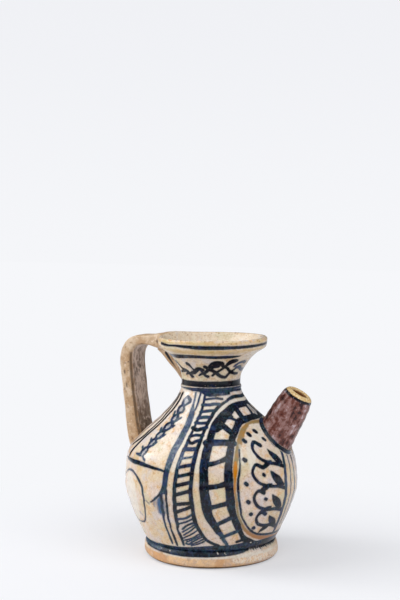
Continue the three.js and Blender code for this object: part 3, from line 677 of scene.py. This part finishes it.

    # Bare clay in the chips and low on the foot, with lime spots, rust and a crust of splashed glaze. Along
    # its very bottom it is dark brown, partly dirt and partly a painted shadow where the foot meets the
    # floor.
    bare_edge = edge_of(material, "bare", ragged, 1)
    bare = node(material, "MapRange", {0: bare_edge, 1: 0.5, 2: -0.5}, interpolation_type="SMOOTHSTEP")
    clay = coat(material, "E2BC90", "C9A88E", cloud["patch"], 0.42, 0.57)
    clay = coat(material, clay, "EADCCB", cloud["mottle"], 0.54, 0.68, 0.55)
    clay = coat(material, clay, "D0965A", cloud["broad"], 0.5, 0.4, 0.55)
    crust = node(material, "Math", {0: cloud["grain"], 1: cloud["mottle"]}, operation="ADD")
    splashed = node(material, "MapRange", {0: pale_edge, 1: 1.1, 2: -1.1, 4: 0.8},
                    interpolation_type="SMOOTHSTEP")
    clay = coat(material, clay, "EADFD0", crust, 0.85, 1.05, splashed)
    if bare_below_mm is not None:
        glaze_edge = node(material, "Math", {0: cloud["patch"], 1: 2.2, 2: in_mm}, operation="MULTIPLY_ADD")
        unglazed = node(material, "MapRange", interpolation_type="SMOOTHSTEP",
                        links={0: glaze_edge, 1: bare_below_mm + 1.4, 2: bare_below_mm + 0.6})
        bare = node(material, "Math", {0: bare, 1: unglazed}, operation="MAXIMUM")
        # Darker towards the bottom edge: dirt together with a painted contact shadow under the foot.
        clay = coat(material, clay, "6E5138", glaze_edge, 3.8, 2.6)
    colour = coat(material, colour, clay, bare, 0, 1, 1, "LINEAR")

    # Crazing, drawn wider than a real hairline so that it shows, and fainter on the dark paint.
    crack_distance = node(material, "TexVoronoi", {"Vector": place, "Scale": 1 / (4.5 * MM)}, "Distance",
                          feature="DISTANCE_TO_EDGE")
    crack = node(material, "MapRange", {0: crack_distance, 1: 0.035, 2: 0}, interpolation_type="SMOOTHSTEP")
    soiled = node(material, "Math", {0: cover, 1: -0.24, 2: 0.3}, operation="MULTIPLY_ADD")
    colour = coat(material, colour, "8C6C4E", crack, 0, 1, soiled, "LINEAR")
    relief = ((cloud["patch"], 0.5), (cloud["mottle"], 0.25), (cobalt, 0.12), (bare, -0.5), (pinhole, -0.6),
              (crack, -0.08))
    return finished(material, shader, colour, smoothest, ((cloud["patch"], 0.2), (bare, 0.45)), relief, 0.4)


foot_glaze = tin_glaze("Biscuit and tin glaze on the foot", "D8BEA0", "E8D8C4", "CFAB82", bare_below_mm=9.4,
                       smoothest=0.32)
painted(foot, strokes)
thrown(foot, 0.1)
stands_for(foot, "foot_disc", foot_glaze)

# Belly: a round shell thrown with its own bottom, open at the shoulder, tin glazed and painted
# outside, thinly glazed inside, and pierced where the spout stands on it.
SPOUT_ANGLE = math.radians(59)
SPOUT_REACH = 84.5
SPOUT_HEIGHT = 151.9
BORE_RADIUS = 8.3
BORE_MIDDLE = 50
BORE_LENGTH = 60
aside = Vector((math.cos(math.radians(SPOUT_ASIDE)), math.sin(math.radians(SPOUT_ASIDE)), 0))
SPOUT_TIP = aside * SPOUT_REACH + Vector((0, 0, SPOUT_HEIGHT))
SPOUT_AXIS = aside * math.cos(SPOUT_ANGLE) + Vector((0, 0, math.sin(SPOUT_ANGLE)))

belly_inside = smoothed([(20, 155), (20.3, 151), (22.8, 146), (27.2, 140), (34.6, 133), (42.6, 125.5),
                         (51, 117.5), (58.6, 109.5), (65, 100.5), (69.6, 90), (71.8, 80), (72.7, 70),
                         (71.8, 59), (68.6, 48), (64, 38), (58, 28), (48, 20), (36, 16.8), (0, 16)], 6)
belly_run = [(0, 9.6), (43, 9.6), (47, 13.5), (48.9, 15.4), *belly_outside, *belly_inside]
belly = as_piece("painted_belly", spun(belly_run, TURN_STEPS))

bm = bmesh.new()
bmesh.ops.create_cone(bm, cap_ends=True, segments=48, radius1=BORE_RADIUS, radius2=BORE_RADIUS,
                      depth=BORE_LENGTH)
to_spout = SPOUT_AXIS.to_track_quat("Z", "X").to_matrix().to_4x4()
drilled_at = Matrix.Translation(SPOUT_TIP - SPOUT_AXIS * BORE_MIDDLE)
bmesh.ops.transform(bm, matrix=drilled_at @ to_spout, verts=bm.verts[:])
drill = as_piece("drill", bm)
cut = belly.modifiers.new("hole behind the spout", "BOOLEAN")
cut.operation = "DIFFERENCE"
cut.solver = "EXACT"
cut.object = drill
pierced = bpy.data.meshes.new_from_object(belly.evaluated_get(bpy.context.evaluated_depsgraph_get()))
belly.modifiers.clear()
belly.data = pierced
bpy.data.objects.remove(drill)
belly.data.shade_smooth()
painted(belly, strokes)
thrown(belly)
belly_glaze = tin_glaze("Painted tin glaze", "DCC5A2", "E9DDD1", "DCB27E")
stands_for(belly, "belly", belly_glaze)

# Neck and funnel: thrown apart from the belly, with a thick rolled lip, and set on its shoulder. Its
# inside is glazed but not painted, so no pale wash is read there.
LEAST_WALL = 2.5
NO_STROKE = 5.0
funnel_inside = smoothed([(48.5, 199.9), (46.4, 199.6), (44.8, 197.6), (42.6, 193), (38, 188),
                          (31.4, 181.6), (26.2, 176), (22.4, 170), (20.4, 163.5), (19.8, 155)], 1.2)
funnel = as_piece("painted_funnel", spun([*funnel_outside, *funnel_inside[1:]], 320, closed=True))
painted(funnel, strokes)
points = points_of(funnel)
wall = np.interp(points[:, 2], funnel_outside[:, 1], funnel_outside[:, 0])
lined = np.where(np.hypot(points[:, 0], points[:, 1]) < wall - LEAST_WALL, 0.0, NO_STROKE)
funnel.data.attributes["pale"].data.foreach_set("value", lined)
thrown(funnel)
funnel_glaze = tin_glaze("Painted tin glaze on the funnel", "D6BD9A", "E2CDB0", "CCA878")
stands_for(funnel, "neck_funnel", funnel_glaze)

# Cordon: a thin coil of clay smoothed over the seam of neck and belly. The dark band is painted over
# it, and its crest shows through as a pale line where the glaze ran thin.
cordon_outline = smoothed([(27, 152.9), (27.9, 153.6), (28, 154.6), (27.9, 155.6), (27.5, 156.4),
                           (26.8, 157)], 0.5)
cordon_run = [*cordon_outline, (25.4, 156.6), (25.4, 153.2)]
cordon = as_piece("neck_cordon_coil", spun(cordon_run, 240, closed=True))
painted(cordon, strokes)
thrown(cordon)
stands_for(cordon, "neck_cordon", belly_glaze)

# Spout: a tapered tube thrown by itself, luted over the hole and painted in manganese, with a
# dark ring under its lip. The lip was wiped down to cream glaze.
SPOUT_TURNS = 144
STREAK_STRETCH = 0.16
spout_outside = smoothed([(18.4, -58), (17.8, -47), (16.6, -34), (15.8, -20), (14.4, -7), (13.5, -3.4),
                          (12.8, -2), (11.4, -0.7), (9.9, 0)], 0.7)
spout_inside = smoothed([(9, 0), (7.7, -0.6), (7.2, -2.4), (7, -8), (7.4, -24), (8.3, -44), (8.3, -58)],
                        1.5)
spout = as_piece("manganese_spout", spun([*spout_outside, *spout_inside], SPOUT_TURNS, closed=True))
points = points_of(spout)
turn = np.arctan2(points[:, 1], points[:, 0])
radius = np.hypot(points[:, 0], points[:, 1])
uneven = 0.14 * np.sin(points[:, 2] / 1.3 + turn) + 0.16 * np.sin(2 * turn + points[:, 2] / 9) - 0.2
points[:, :2] *= (1 + uneven / radius)[:, None]
moved(spout, points)
outer = radius > np.interp(points[:, 2], [-58, -3, 0], [13, 10, 8.6])
marked(spout, "from_lip", np.where(outer, -points[:, 2], points[:, 2]))
marked(spout, "along_tube", (points * (MM, MM, MM * STREAK_STRETCH)).ravel(), "FLOAT_VECTOR", "vector")
spout.data.transform(Matrix.Translation(SPOUT_TIP) @ to_spout)
slumped(spout)


# Manganese glaze: the same glaze stained with manganese and run down the tube in streaks, glossy. It
# shows brown purple with pale lilac where it is thin, and ends in a black ring below a cream lip.
def manganese_glaze(name):
    """Streaks and clouds of purple below the ring and the wiped lip, and plain clay down the bore."""
    material, shader, place = new_glaze(name)
    down = node(material, "Attribute", out="Fac", attribute_name="from_lip")
    along = node(material, "Attribute", out="Vector", attribute_name="along_tube")
    sizes = {"broad": (place, 8, 4, 0.6), "streak": (along, 5, 4, 0.65), "thread": (along, 1.8, 3, 0.6),
             "grain": (place, 1.2, 2, 0.55)}
    cloud = {}
    for kind, (where, size_mm, detail, rough) in sizes.items():
        cloud[kind] = node(material, "TexNoise", {"Vector": where, "Scale": 1 / (size_mm * MM),
                                                  "Detail": detail, "Roughness": rough})
    mottle = 0
    for kind, share in (("streak", 0.6), ("broad", 0.9), ("thread", 0.2)):
        mottle = node(material, "Math", {0: cloud[kind], 1: share, 2: mottle}, operation="MULTIPLY_ADD")
    purple = coat(material, "34191A", "6E4036", mottle, 0.7, 0.8)
    purple = coat(material, purple, "96706A", mottle, 0.81, 0.9)
    purple = coat(material, purple, "C4AEB2", mottle, 0.93, 1.02)
    uneven = node(material, "Math", {0: cloud["broad"], 1: 1.2, 2: -0.6}, operation="MULTIPLY_ADD")
    wavy = node(material, "Math", {0: down, 1: uneven}, operation="ADD")
    lip = coat(material, "E3CC9C", "CFA566", cloud["grain"], 0.42, 0.62)
    ring = coat(material, "17131C", "A09AA8", cloud["thread"], 0.6, 0.66)
    colour = coat(material, lip, ring, wavy, 2.1, 2.6)
    colour = coat(material, colour, purple, wavy, 4.2, 5.4)
    colour = coat(material, colour, "85552F", down, -0.5, -2.5)
    relief = ((cloud["broad"], 1), (cloud["grain"], 0.2))
    return finished(material, shader, colour, 0.08, ((cloud["broad"], 0.3),), relief, 0.4)


stands_for(spout, "spout_tube", manganese_glaze("Mottled manganese glaze"))

# Luting round the spout: a coil of clay pressed into the corner of tube and belly, painted over
# with one dark line.
LUTING_SIDES = 96
TUBE_MIDDLE = 20.0
TUBE_ROOT = 75.0
HALVINGS = 30


def foot_of_spout(angle, reach, lift):
    """The place on the belly under a point of the tube's wall, moved out by reach and up by lift."""
    side = to_spout.to_3x3() @ Vector((math.cos(angle), math.sin(angle), 0))
    near, far = TUBE_MIDDLE, TUBE_ROOT
    for _ in range(HALVINGS):
        back = (near + far) / 2
        tube = np.interp(-back, spout_outside[:, 1], spout_outside[:, 0]) + reach
        point = SPOUT_TIP - SPOUT_AXIS * back + side * tube
        wall = np.interp(point.z, belly_outside[:, 1], belly_outside[:, 0])
        if math.hypot(point.x, point.y) > wall:
            near = back
        else:
            far = back
    slopes = np.diff(belly_outside[:, 0]) / np.diff(belly_outside[:, 1])
    slope = np.interp(point.z, belly_outside[1:, 1], slopes)
    away = Vector((point.x, point.y, 0)).normalized() - Vector((0, 0, slope))
    return point + away.normalized() * lift


bm = bmesh.new()
loops = []
for reach, lift in ((-0.15, 2.4), (0.5, 1.4), (1.1, 0.7), (1.9, 0.25), (2.9, -0.05), (2.7, -1.2),
                    (-1.2, -1.2)):
    rim = bmesh.ops.create_circle(bm, segments=LUTING_SIDES, radius=1)["verts"]
    for k, vert in enumerate(rim):
        vert.co = foot_of_spout(2 * math.pi * k / LUTING_SIDES, reach, lift)
    loops.append(list({edge for vert in rim for edge in vert.link_edges}))
for start, end in zip(loops, loops[1:] + loops[:1]):
    bmesh.ops.bridge_loops(bm, edges=start + end)
bmesh.ops.recalc_face_normals(bm, faces=bm.faces[:])
luting = as_piece("spout_luting_coil", bm)
root_line = np.array([foot_of_spout(math.radians(step), 1, 0.8) for step in range(0, 366, 6)])
painted(luting, {**strokes, "cobalt": [(root_line, np.full(len(root_line), 1.8), 1.0)]})
slumped(luting)
stands_for(luting, "spout_luting", belly_glaze)


# Handle: a strap pulled from a roll of clay, set under the lip, bent square and pressed onto the
# shoulder. It was dipped in thin glaze and left unpainted.
HANDLE_SIDES = 64
STRAP_SQUARENESS = 0.36
WEB_SQUARENESS = 0.7
SECTION_STEP = 1.5
WIDEST_EDGE = 0.2
# Each station of the strap is [x, z, thickness, width].
handle_stations = [(-45.5, 192.8, 13, 31), (-51, 193, 13.4, 30), (-58, 193.6, 12.4, 27.5),
                   (-65.5, 193.8, 9.8, 26), (-72.5, 193.9, 9.6, 25.5), (-79.6, 192.9, 10.4, 25.5),
                   (-86, 189.4, 12, 25.5), (-89.7, 184, 13.2, 25.6), (-90.9, 176, 13.9, 26),
                   (-89.9, 164.5, 14, 26), (-88, 151, 14, 26), (-86.4, 136, 14, 26),
                   (-85, 121, 14.2, 26.2), (-83.2, 111, 14.8, 27), (-81.2, 102, 15.6, 27.6),
                   (-78.2, 94.5, 15.8, 28), (-73.5, 88.5, 15, 28), (-67, 85, 13, 27)]


def heading(run):
    """The direction of a run at each of its points, in the plane of the handle."""
    ahead = np.gradient(run[:, :2], axis=0)
    return ahead / np.linalg.norm(ahead, axis=1)[:, None]


def swept(name, stations, sides, squareness):
    """A strap of rounded oblong section drawn along stations in the plane of the handle."""
    run = smoothed(stations, SECTION_STEP)
    frames = []
    for (x, z, thick, wide), t in zip(run, heading(run)):
        placed = Matrix(((-t[1], 0, t[0], x), (0, 1, 0, 0), (t[0], 0, t[1], z), (0, 0, 0, 1)))
        frames.append(placed @ Matrix.Diagonal((thick / 2, wide / 2, 1, 1)))
    bm = bmesh.new()
    ring = bmesh.ops.create_circle(bm, segments=sides, radius=1)["verts"]
    for k, vert in enumerate(ring):
        angle = 2 * math.pi * k / sides
        vert.co = (math.copysign(abs(math.cos(angle)) ** squareness, math.cos(angle)),
                   math.copysign(abs(math.sin(angle)) ** squareness, math.sin(angle)), 0)
    wide_sides = [edge for edge in bm.edges if edge.calc_length() > WIDEST_EDGE]
    bmesh.ops.subdivide_edges(bm, edges=wide_sides, cuts=3)
    ring = bm.verts[:]
    bmesh.ops.contextual_create(bm, geom=ring)
    bmesh.ops.transform(bm, matrix=frames[0], verts=ring)
    edges = list({edge for vert in ring for edge in vert.link_edges})
    for before, after in zip(frames, frames[1:]):
        grown = bmesh.ops.extrude_edge_only(bm, edges=edges)["geom"]
        verts = [item for item in grown if isinstance(item, bmesh.types.BMVert)]
        edges = [item for item in grown if isinstance(item, bmesh.types.BMEdge)]
        bmesh.ops.transform(bm, matrix=after @ before.inverted(), verts=verts)
    bmesh.ops.contextual_create(bm, geom=edges)
    bmesh.ops.recalc_face_normals(bm, faces=bm.faces[:])
    return as_piece(name, bm)


def pulled(piece, depth=0.35):
    """Gives the strap the long shallow ridges and soft lumps of pulled clay."""
    points = points_of(piece)
    normals = np.empty(len(points) * 3)
    piece.data.vertices.foreach_get("normal", normals)
    x, y, z = points.T
    lumps = np.sin(z / 9 + y / 5) * np.sin(x / 11 + 1) + 0.6 * np.sin(z / 4.3 + y / 3 + x / 6)
    ridges = 0.5 * np.sin(y / 1.9 + 0.3 * np.sin(z / 12))
    moved(piece, points + normals.reshape(-1, 3) * (depth * (lumps * 0.5 + ridges * 0.5) - 0.2)[:, None])


handle = swept("strap_of_clay", handle_stations, HANDLE_SIDES, STRAP_SQUARENESS)

# Marks on the strap: the inner face, painted grey partly as shade, between two long grooves, nicks and cuts
# in the clay, all painted dark as the shade in them, and the two painted lines that run from the lip down
# the web.
handle_run = smoothed(handle_stations, 4)
strap_middle = handle_run[(handle_run[:, 1] > 88) & (handle_run[:, 0] < -60)]
ahead = heading(strap_middle)
inner = strap_middle[:, :2] + np.stack([-ahead[:, 1], ahead[:, 0]], 1) * strap_middle[:, 2:3] / 2
marks_on_handle = {"stain": [], "groove": [], "cobalt": []}
for y, layer, half, top in ((0, "stain", 9.5, 200), (-11.8, "groove", 1.6, 182),
                            (11.8, "groove", 1.6, 182)):
    here = inner[inner[:, 1] < top]
    run = np.stack([here[:, 0], np.full(len(here), float(y)), here[:, 1]], 1)
    marks_on_handle[layer].append((run, np.full(len(run), half), 1.0))
nicks = [((-52.4, -14.6, 193.4), (-51.6, -14.8, 192.6), 1.1, 0.9),
         ((-97, -13, 171.6), (-89, -13, 171), 0.15, 0.15),
         ((-90.6, -13, 163.4), (-90.2, -13, 161.4), 0.9, 0.9),
         ((-97, -12.6, 178), (-96.6, -12.8, 176), 0.6, 0.6),
         ((-88, -13, 152), (-87.6, -13, 148), 0.5, 0.5)]
for y, low, high in ((-1, 168.5, 171), (1.8, 166, 168), (-3.2, 162.5, 165.5), (0.4, 162, 163.5),
                     (-5.4, 159, 161.5), (2.5, 172.5, 173.5), (-1.6, 158.6, 159.6)):
    nicks.append(((-83.2, y, low), (-83.2, y - 0.3, high), 0.9, 1.2))
for start, end, half, end_half in nicks:
    marks_on_handle["groove"].append((np.array([start, end], float), np.array([half, end_half]), 1.0))
web_line = np.array([(-44.5, -10.8, 183), (-39.4, -9.8, 175.5), (-33.6, -8.2, 167.5), (-28.8, -6.4, 158)])
for side in (1, -1):
    run = smoothed(web_line * (1, side, 1), 2)
    marks_on_handle["cobalt"].append((run, np.linspace(1.5, 0.9, len(run)), 1.0))
painted(handle, marks_on_handle)
pulled(handle)
slumped(handle)


# Thin glaze: one dip of clear lead glaze over the buff clay, satin, with brown pits and pale skins. The
# inner face of the strap is painted grey, partly scraped clay and partly painted shade, and darker low down
# as a painted shadow where it nears the shoulder.
def plain_glaze(name, light, mid, dark):
    """Buff clay under thin glaze, from light over mid to dark where the glaze is thinnest."""
    material, shader, place = new_glaze(name)
    upright = node(material, "Mapping", {"Vector": place, "Scale": (1, 1, 0.4)})
    sizes = {"broad": (place, 14, 4, 0.6), "patch": (place, 4, 5, 0.7), "grain": (place, 1.2, 3, 0.55),
             "scratch": (upright, 3, 5, 0.75)}
    cloud = {}
    for kind, (where, size_mm, detail, rough) in sizes.items():
        cloud[kind] = node(material, "TexNoise", {"Vector": where, "Scale": 1 / (size_mm * MM),
                                                  "Detail": detail, "Roughness": rough})
    ragged = node(material, "Math", {0: cloud["patch"], 1: 5, 2: -2.5}, operation="MULTIPLY_ADD")
    colour = coat(material, light, mid, cloud["broad"], 0.38, 0.6)
    for tint, kind, start, end, share in ((dark, "patch", 0.53, 0.68, 1), ("E2CFB8", "patch", 0.42, 0.32, 1),
                                          ("86643F", "grain", 0.6, 0.7, 0.5)):
        colour = coat(material, colour, tint, cloud[kind], start, end, share)

    # The inner face is painted grey, partly as scraped clay and partly as painted shade where it faces the
    # pot.
    inner_face_shade_edge = edge_of(material, "stain", ragged, 1)
    stain = node(material, "MapRange", {0: inner_face_shade_edge, 1: 1.5, 2: -1.5}, interpolation_type="SMOOTHSTEP")
    height = node(material, "SeparateXYZ", {0: place}, "Z")
    # Darker low down: a painted shadow where the strap comes close to the shoulder.
    shadow_near_shoulder = node(material, "MapRange", {0: height, 1: 146 * MM, 2: 116 * MM, 4: 0.85},
                    interpolation_type="SMOOTHSTEP")
    inner = coat(material, "88766E", "D6C6BC", cloud["scratch"], 0.38, 0.58)
    inner = coat(material, inner, "3E2E24", cloud["patch"], 0.36, 0.5, shadow_near_shoulder)
    colour = coat(material, colour, inner, stain, 0, 1, 0.85, "LINEAR")
    scored = node(material, "MapRange", {0: cloud["scratch"], 1: 0.38, 2: 0.31, 4: stain},
                  interpolation_type="SMOOTHSTEP")
    colour = coat(material, colour, "5A493E", scored, 0, 1, 0.7, "LINEAR")

    # The grooves and nicks are painted dark as the shade inside them, over their dents in the relief.
    groove_edge = edge_of(material, "groove", ragged, 0.3)
    groove = node(material, "MapRange", {0: groove_edge, 1: 0.8, 2: -0.5}, interpolation_type="SMOOTHSTEP")
    colour = coat(material, colour, "4A3A2E", groove, 0, 1, 0.72, "LINEAR")
    colour = coat(material, colour, "12131C", edge_of(material, "cobalt", ragged, 0.25), 0.5, -0.4)
    pit = specks(material, place, 5, 1, 0.42)
    colour = coat(material, colour, "4E3A2C", pit, 0, 1, 0.8, "LINEAR")
    relief = ((cloud["patch"], 1), (cloud["grain"], 0.25), (scored, -0.5), (pit, -1.2), (groove, -1))
    return finished(material, shader, colour, 0.3, ((cloud["patch"], 0.3),), relief, 0.7)


handle_glaze = plain_glaze("Thin glaze on buff clay", "D2BBA0", "B89774", "9A7652")
stands_for(handle, "strap_handle", handle_glaze)

# Lutings of the handle: a web of clay drawn from under the strap down the funnel to the neck, and a
# pad thumbed onto the shoulder round the strap's lower end. Both fade into the wall they lie on.
WEB_SIDES = 48
FUNNEL_CLEARANCE = 1.8
WEB_TOP = 197.5
PAD_LOW = 77
PAD_HIGH = 112
PAD_ROOT = 2
web_stations = [(-48, 191, 22, 26), (-44.8, 186.6, 19.5, 22.5), (-38.6, 177.6, 16, 18.5),
                (-32.8, 169.5, 12, 14.5), (-28.8, 162.5, 8.8, 12), (-26.6, 158, 6.8, 10)]
web = swept("clay_web_under_handle", web_stations, WEB_SIDES, WEB_SQUARENESS)
painted(web, marks_on_handle)
pulled(web, 0.3)
points = points_of(web)
lining = np.interp(points[:, 2], funnel_inside[::-1, 1], funnel_inside[::-1, 0]) + FUNNEL_CLEARANCE
points[:, :2] *= np.maximum(1, lining / np.hypot(points[:, 0], points[:, 1]))[:, None]
points[:, 2] = np.minimum(points[:, 2], WEB_TOP)
moved(web, points)
slumped(web)
stands_for(web, "handle_top_luting", handle_glaze)


def clay_patch(name, wall, low, high, across, thickness, rows=64, columns=40):
    """A patch on the back of the pot: across and thickness give its half width and height in mm."""
    bm = bmesh.new()
    bmesh.ops.create_grid(bm, x_segments=columns, y_segments=rows, size=1)
    for vert in bm.verts:
        s = (vert.co.y + 1) / 2
        height = low + (high - low) * s
        radius = np.interp(height, wall[:, 1], wall[:, 0])
        side = vert.co.x
        shown = radius - 0.35 + thickness(s) * math.cos(side * math.pi / 2) ** 1.5
        turn = math.pi + side * across(s) / radius
        vert.co = (shown * math.cos(turn), shown * math.sin(turn), height)
    grown = bmesh.ops.extrude_face_region(bm, geom=bm.faces[:])["geom"]
    for vert in grown:
        if isinstance(vert, bmesh.types.BMVert):
            wall_radius = np.interp(vert.co.z, wall[:, 1], wall[:, 0]) - PAD_ROOT
            vert.co.xy *= wall_radius / vert.co.xy.length
    bmesh.ops.recalc_face_normals(bm, faces=bm.faces[:])
    return as_piece(name, bm)


pad = clay_patch("clay_pad_under_handle", belly_outside, PAD_LOW, PAD_HIGH,
                 lambda s: 14 + 5 * math.sin(math.pi * s), lambda s: 9.5 * math.sin(math.pi * s) ** 1.3)
painted(pad, marks_on_handle)
pulled(pad, 0.2)
slumped(pad)
stands_for(pad, "handle_foot_luting", handle_glaze)

# Studio: a pale sweep of paper that shows as near white behind the pot and keeps its shadow. A large
# soft lamp stands at the left with a small low window below it, and a wide fill lamp at the right.
VIEW_TURN = math.radians(56)
FLOOR_HALF = 6
SHADOW_START = 0.08
SHADOW_END = 0.36
LEAST_GLOW = 0.4
ROOM_STRENGTH = 0.45
SHEEN_STRENGTH = 0.1
towards_camera = Vector((math.cos(VIEW_TURN), -math.sin(VIEW_TURN), 0))
image_right = Vector((math.sin(VIEW_TURN), math.cos(VIEW_TURN), 0))

bm = bmesh.new()
bmesh.ops.create_grid(bm, x_segments=1, y_segments=1, size=FLOOR_HALF)
floor = as_piece("studio_floor", bm)
paper = bpy.data.materials.new("Pale paper sweep")
paper.use_nodes = True
paper_shader = paper.node_tree.nodes["Principled BSDF"]
paper_shader.inputs["Base Color"].default_value = linear("E9EAEE")
paper_shader.inputs["Roughness"].default_value = 0.95
from_pot = node(paper, "VectorMath", {0: node(paper, "TexCoord", out="Object")}, "Value", operation="LENGTH")
lit_share = node(paper, "MapRange", {0: from_pot, 1: SHADOW_START, 2: SHADOW_END, 3: LEAST_GLOW, 4: 1},
                 interpolation_type="SMOOTHSTEP")
seen = node(paper, "LightPath", out="Is Camera Ray")
share = node(paper, "Math", {0: seen, 1: lit_share}, operation="MULTIPLY")
glow = node(paper, "Emission", {"Color": linear("F6F7FA"), "Strength": 1})
sweep = node(paper, "MixShader", {0: share, 1: paper_shader.outputs[0], 2: glow})
paper.node_tree.links.new(sweep, paper.node_tree.nodes["Material Output"].inputs["Surface"])
floor.data.materials.append(paper)


def soft_lamp(name, right, forward, height, size, watts):
    """A square soft lamp placed in metres to the right of, before and above the pot, and aimed at it."""
    lamp = bpy.data.lights.new(name, "AREA")
    lamp.size = size
    lamp.energy = watts
    holder = bpy.data.objects.new(name, lamp)
    holder.location = image_right * right + towards_camera * forward + Vector((0, 0, height))
    aim = Vector((0, 0, 0.1)) - holder.location
    holder.rotation_euler = aim.to_track_quat("-Z", "Y").to_euler()
    bpy.context.collection.objects.link(holder)


soft_lamp("key_softbox", -1.55, 0.0, 1.4, 1.5, 23.5)
soft_lamp("low_window", -1.43, -0.35, 0.71, 0.42, 4.5)
soft_lamp("fill_softbox", 0.8, 1.15, 1.7, 1.9, 25)

world = bpy.data.worlds.new("Pale room")
world.use_nodes = True
room = world.node_tree.nodes["Background"]
room.inputs["Color"].default_value = linear("F2F3F7")
room.inputs["Strength"].default_value = ROOM_STRENGTH
upward = node(world, "SeparateXYZ", {0: node(world, "TexCoord", out="Generated")}, "Z")
wall_colour = coat(world, "F5F6F9", "F0F1F5", upward, -0.05, 0.2)
wall = node(world, "Background", {"Color": wall_colour, "Strength": 1})
dim = node(world, "Background", {"Color": linear("F2F3F7"), "Strength": SHEEN_STRENGTH})
mixed = room.outputs[0]
for ray, shown in (("Is Glossy Ray", dim), ("Is Camera Ray", wall)):
    mixed = node(world, "MixShader", {0: node(world, "LightPath", out=ray), 1: mixed, 2: shown})
world.node_tree.links.new(mixed, world.node_tree.nodes["World Output"].inputs["Surface"])
bpy.context.scene.world = world

# Camera: a 36 mm high frame with a 75.6 mm lens, 1.15 m away and 306 mm up, tilted down 3.6 degrees,
# which are the values fitted to the ellipses of the foot, the belly and the rim.
CAMERA_DISTANCE = 1.15
CAMERA_HEIGHT = 0.3059
CAMERA_TILT = math.radians(3.61)
CAMERA_PAN = math.radians(0.5)
FRAME_HEIGHT = 36
LENS = 75.6
camera = bpy.data.cameras.new("photo_camera")
camera.sensor_fit = "VERTICAL"
camera.sensor_height = FRAME_HEIGHT
camera.lens = LENS
viewer = bpy.data.objects.new("photo_camera", camera)
viewer.location = towards_camera * CAMERA_DISTANCE + Vector((0, 0, CAMERA_HEIGHT))
viewer.rotation_euler = (math.pi / 2 - CAMERA_TILT, 0, math.pi / 2 - VIEW_TURN + CAMERA_PAN)
bpy.context.collection.objects.link(viewer)
bpy.context.scene.camera = viewer
bpy.context.scene.view_settings.view_transform = "Standard"
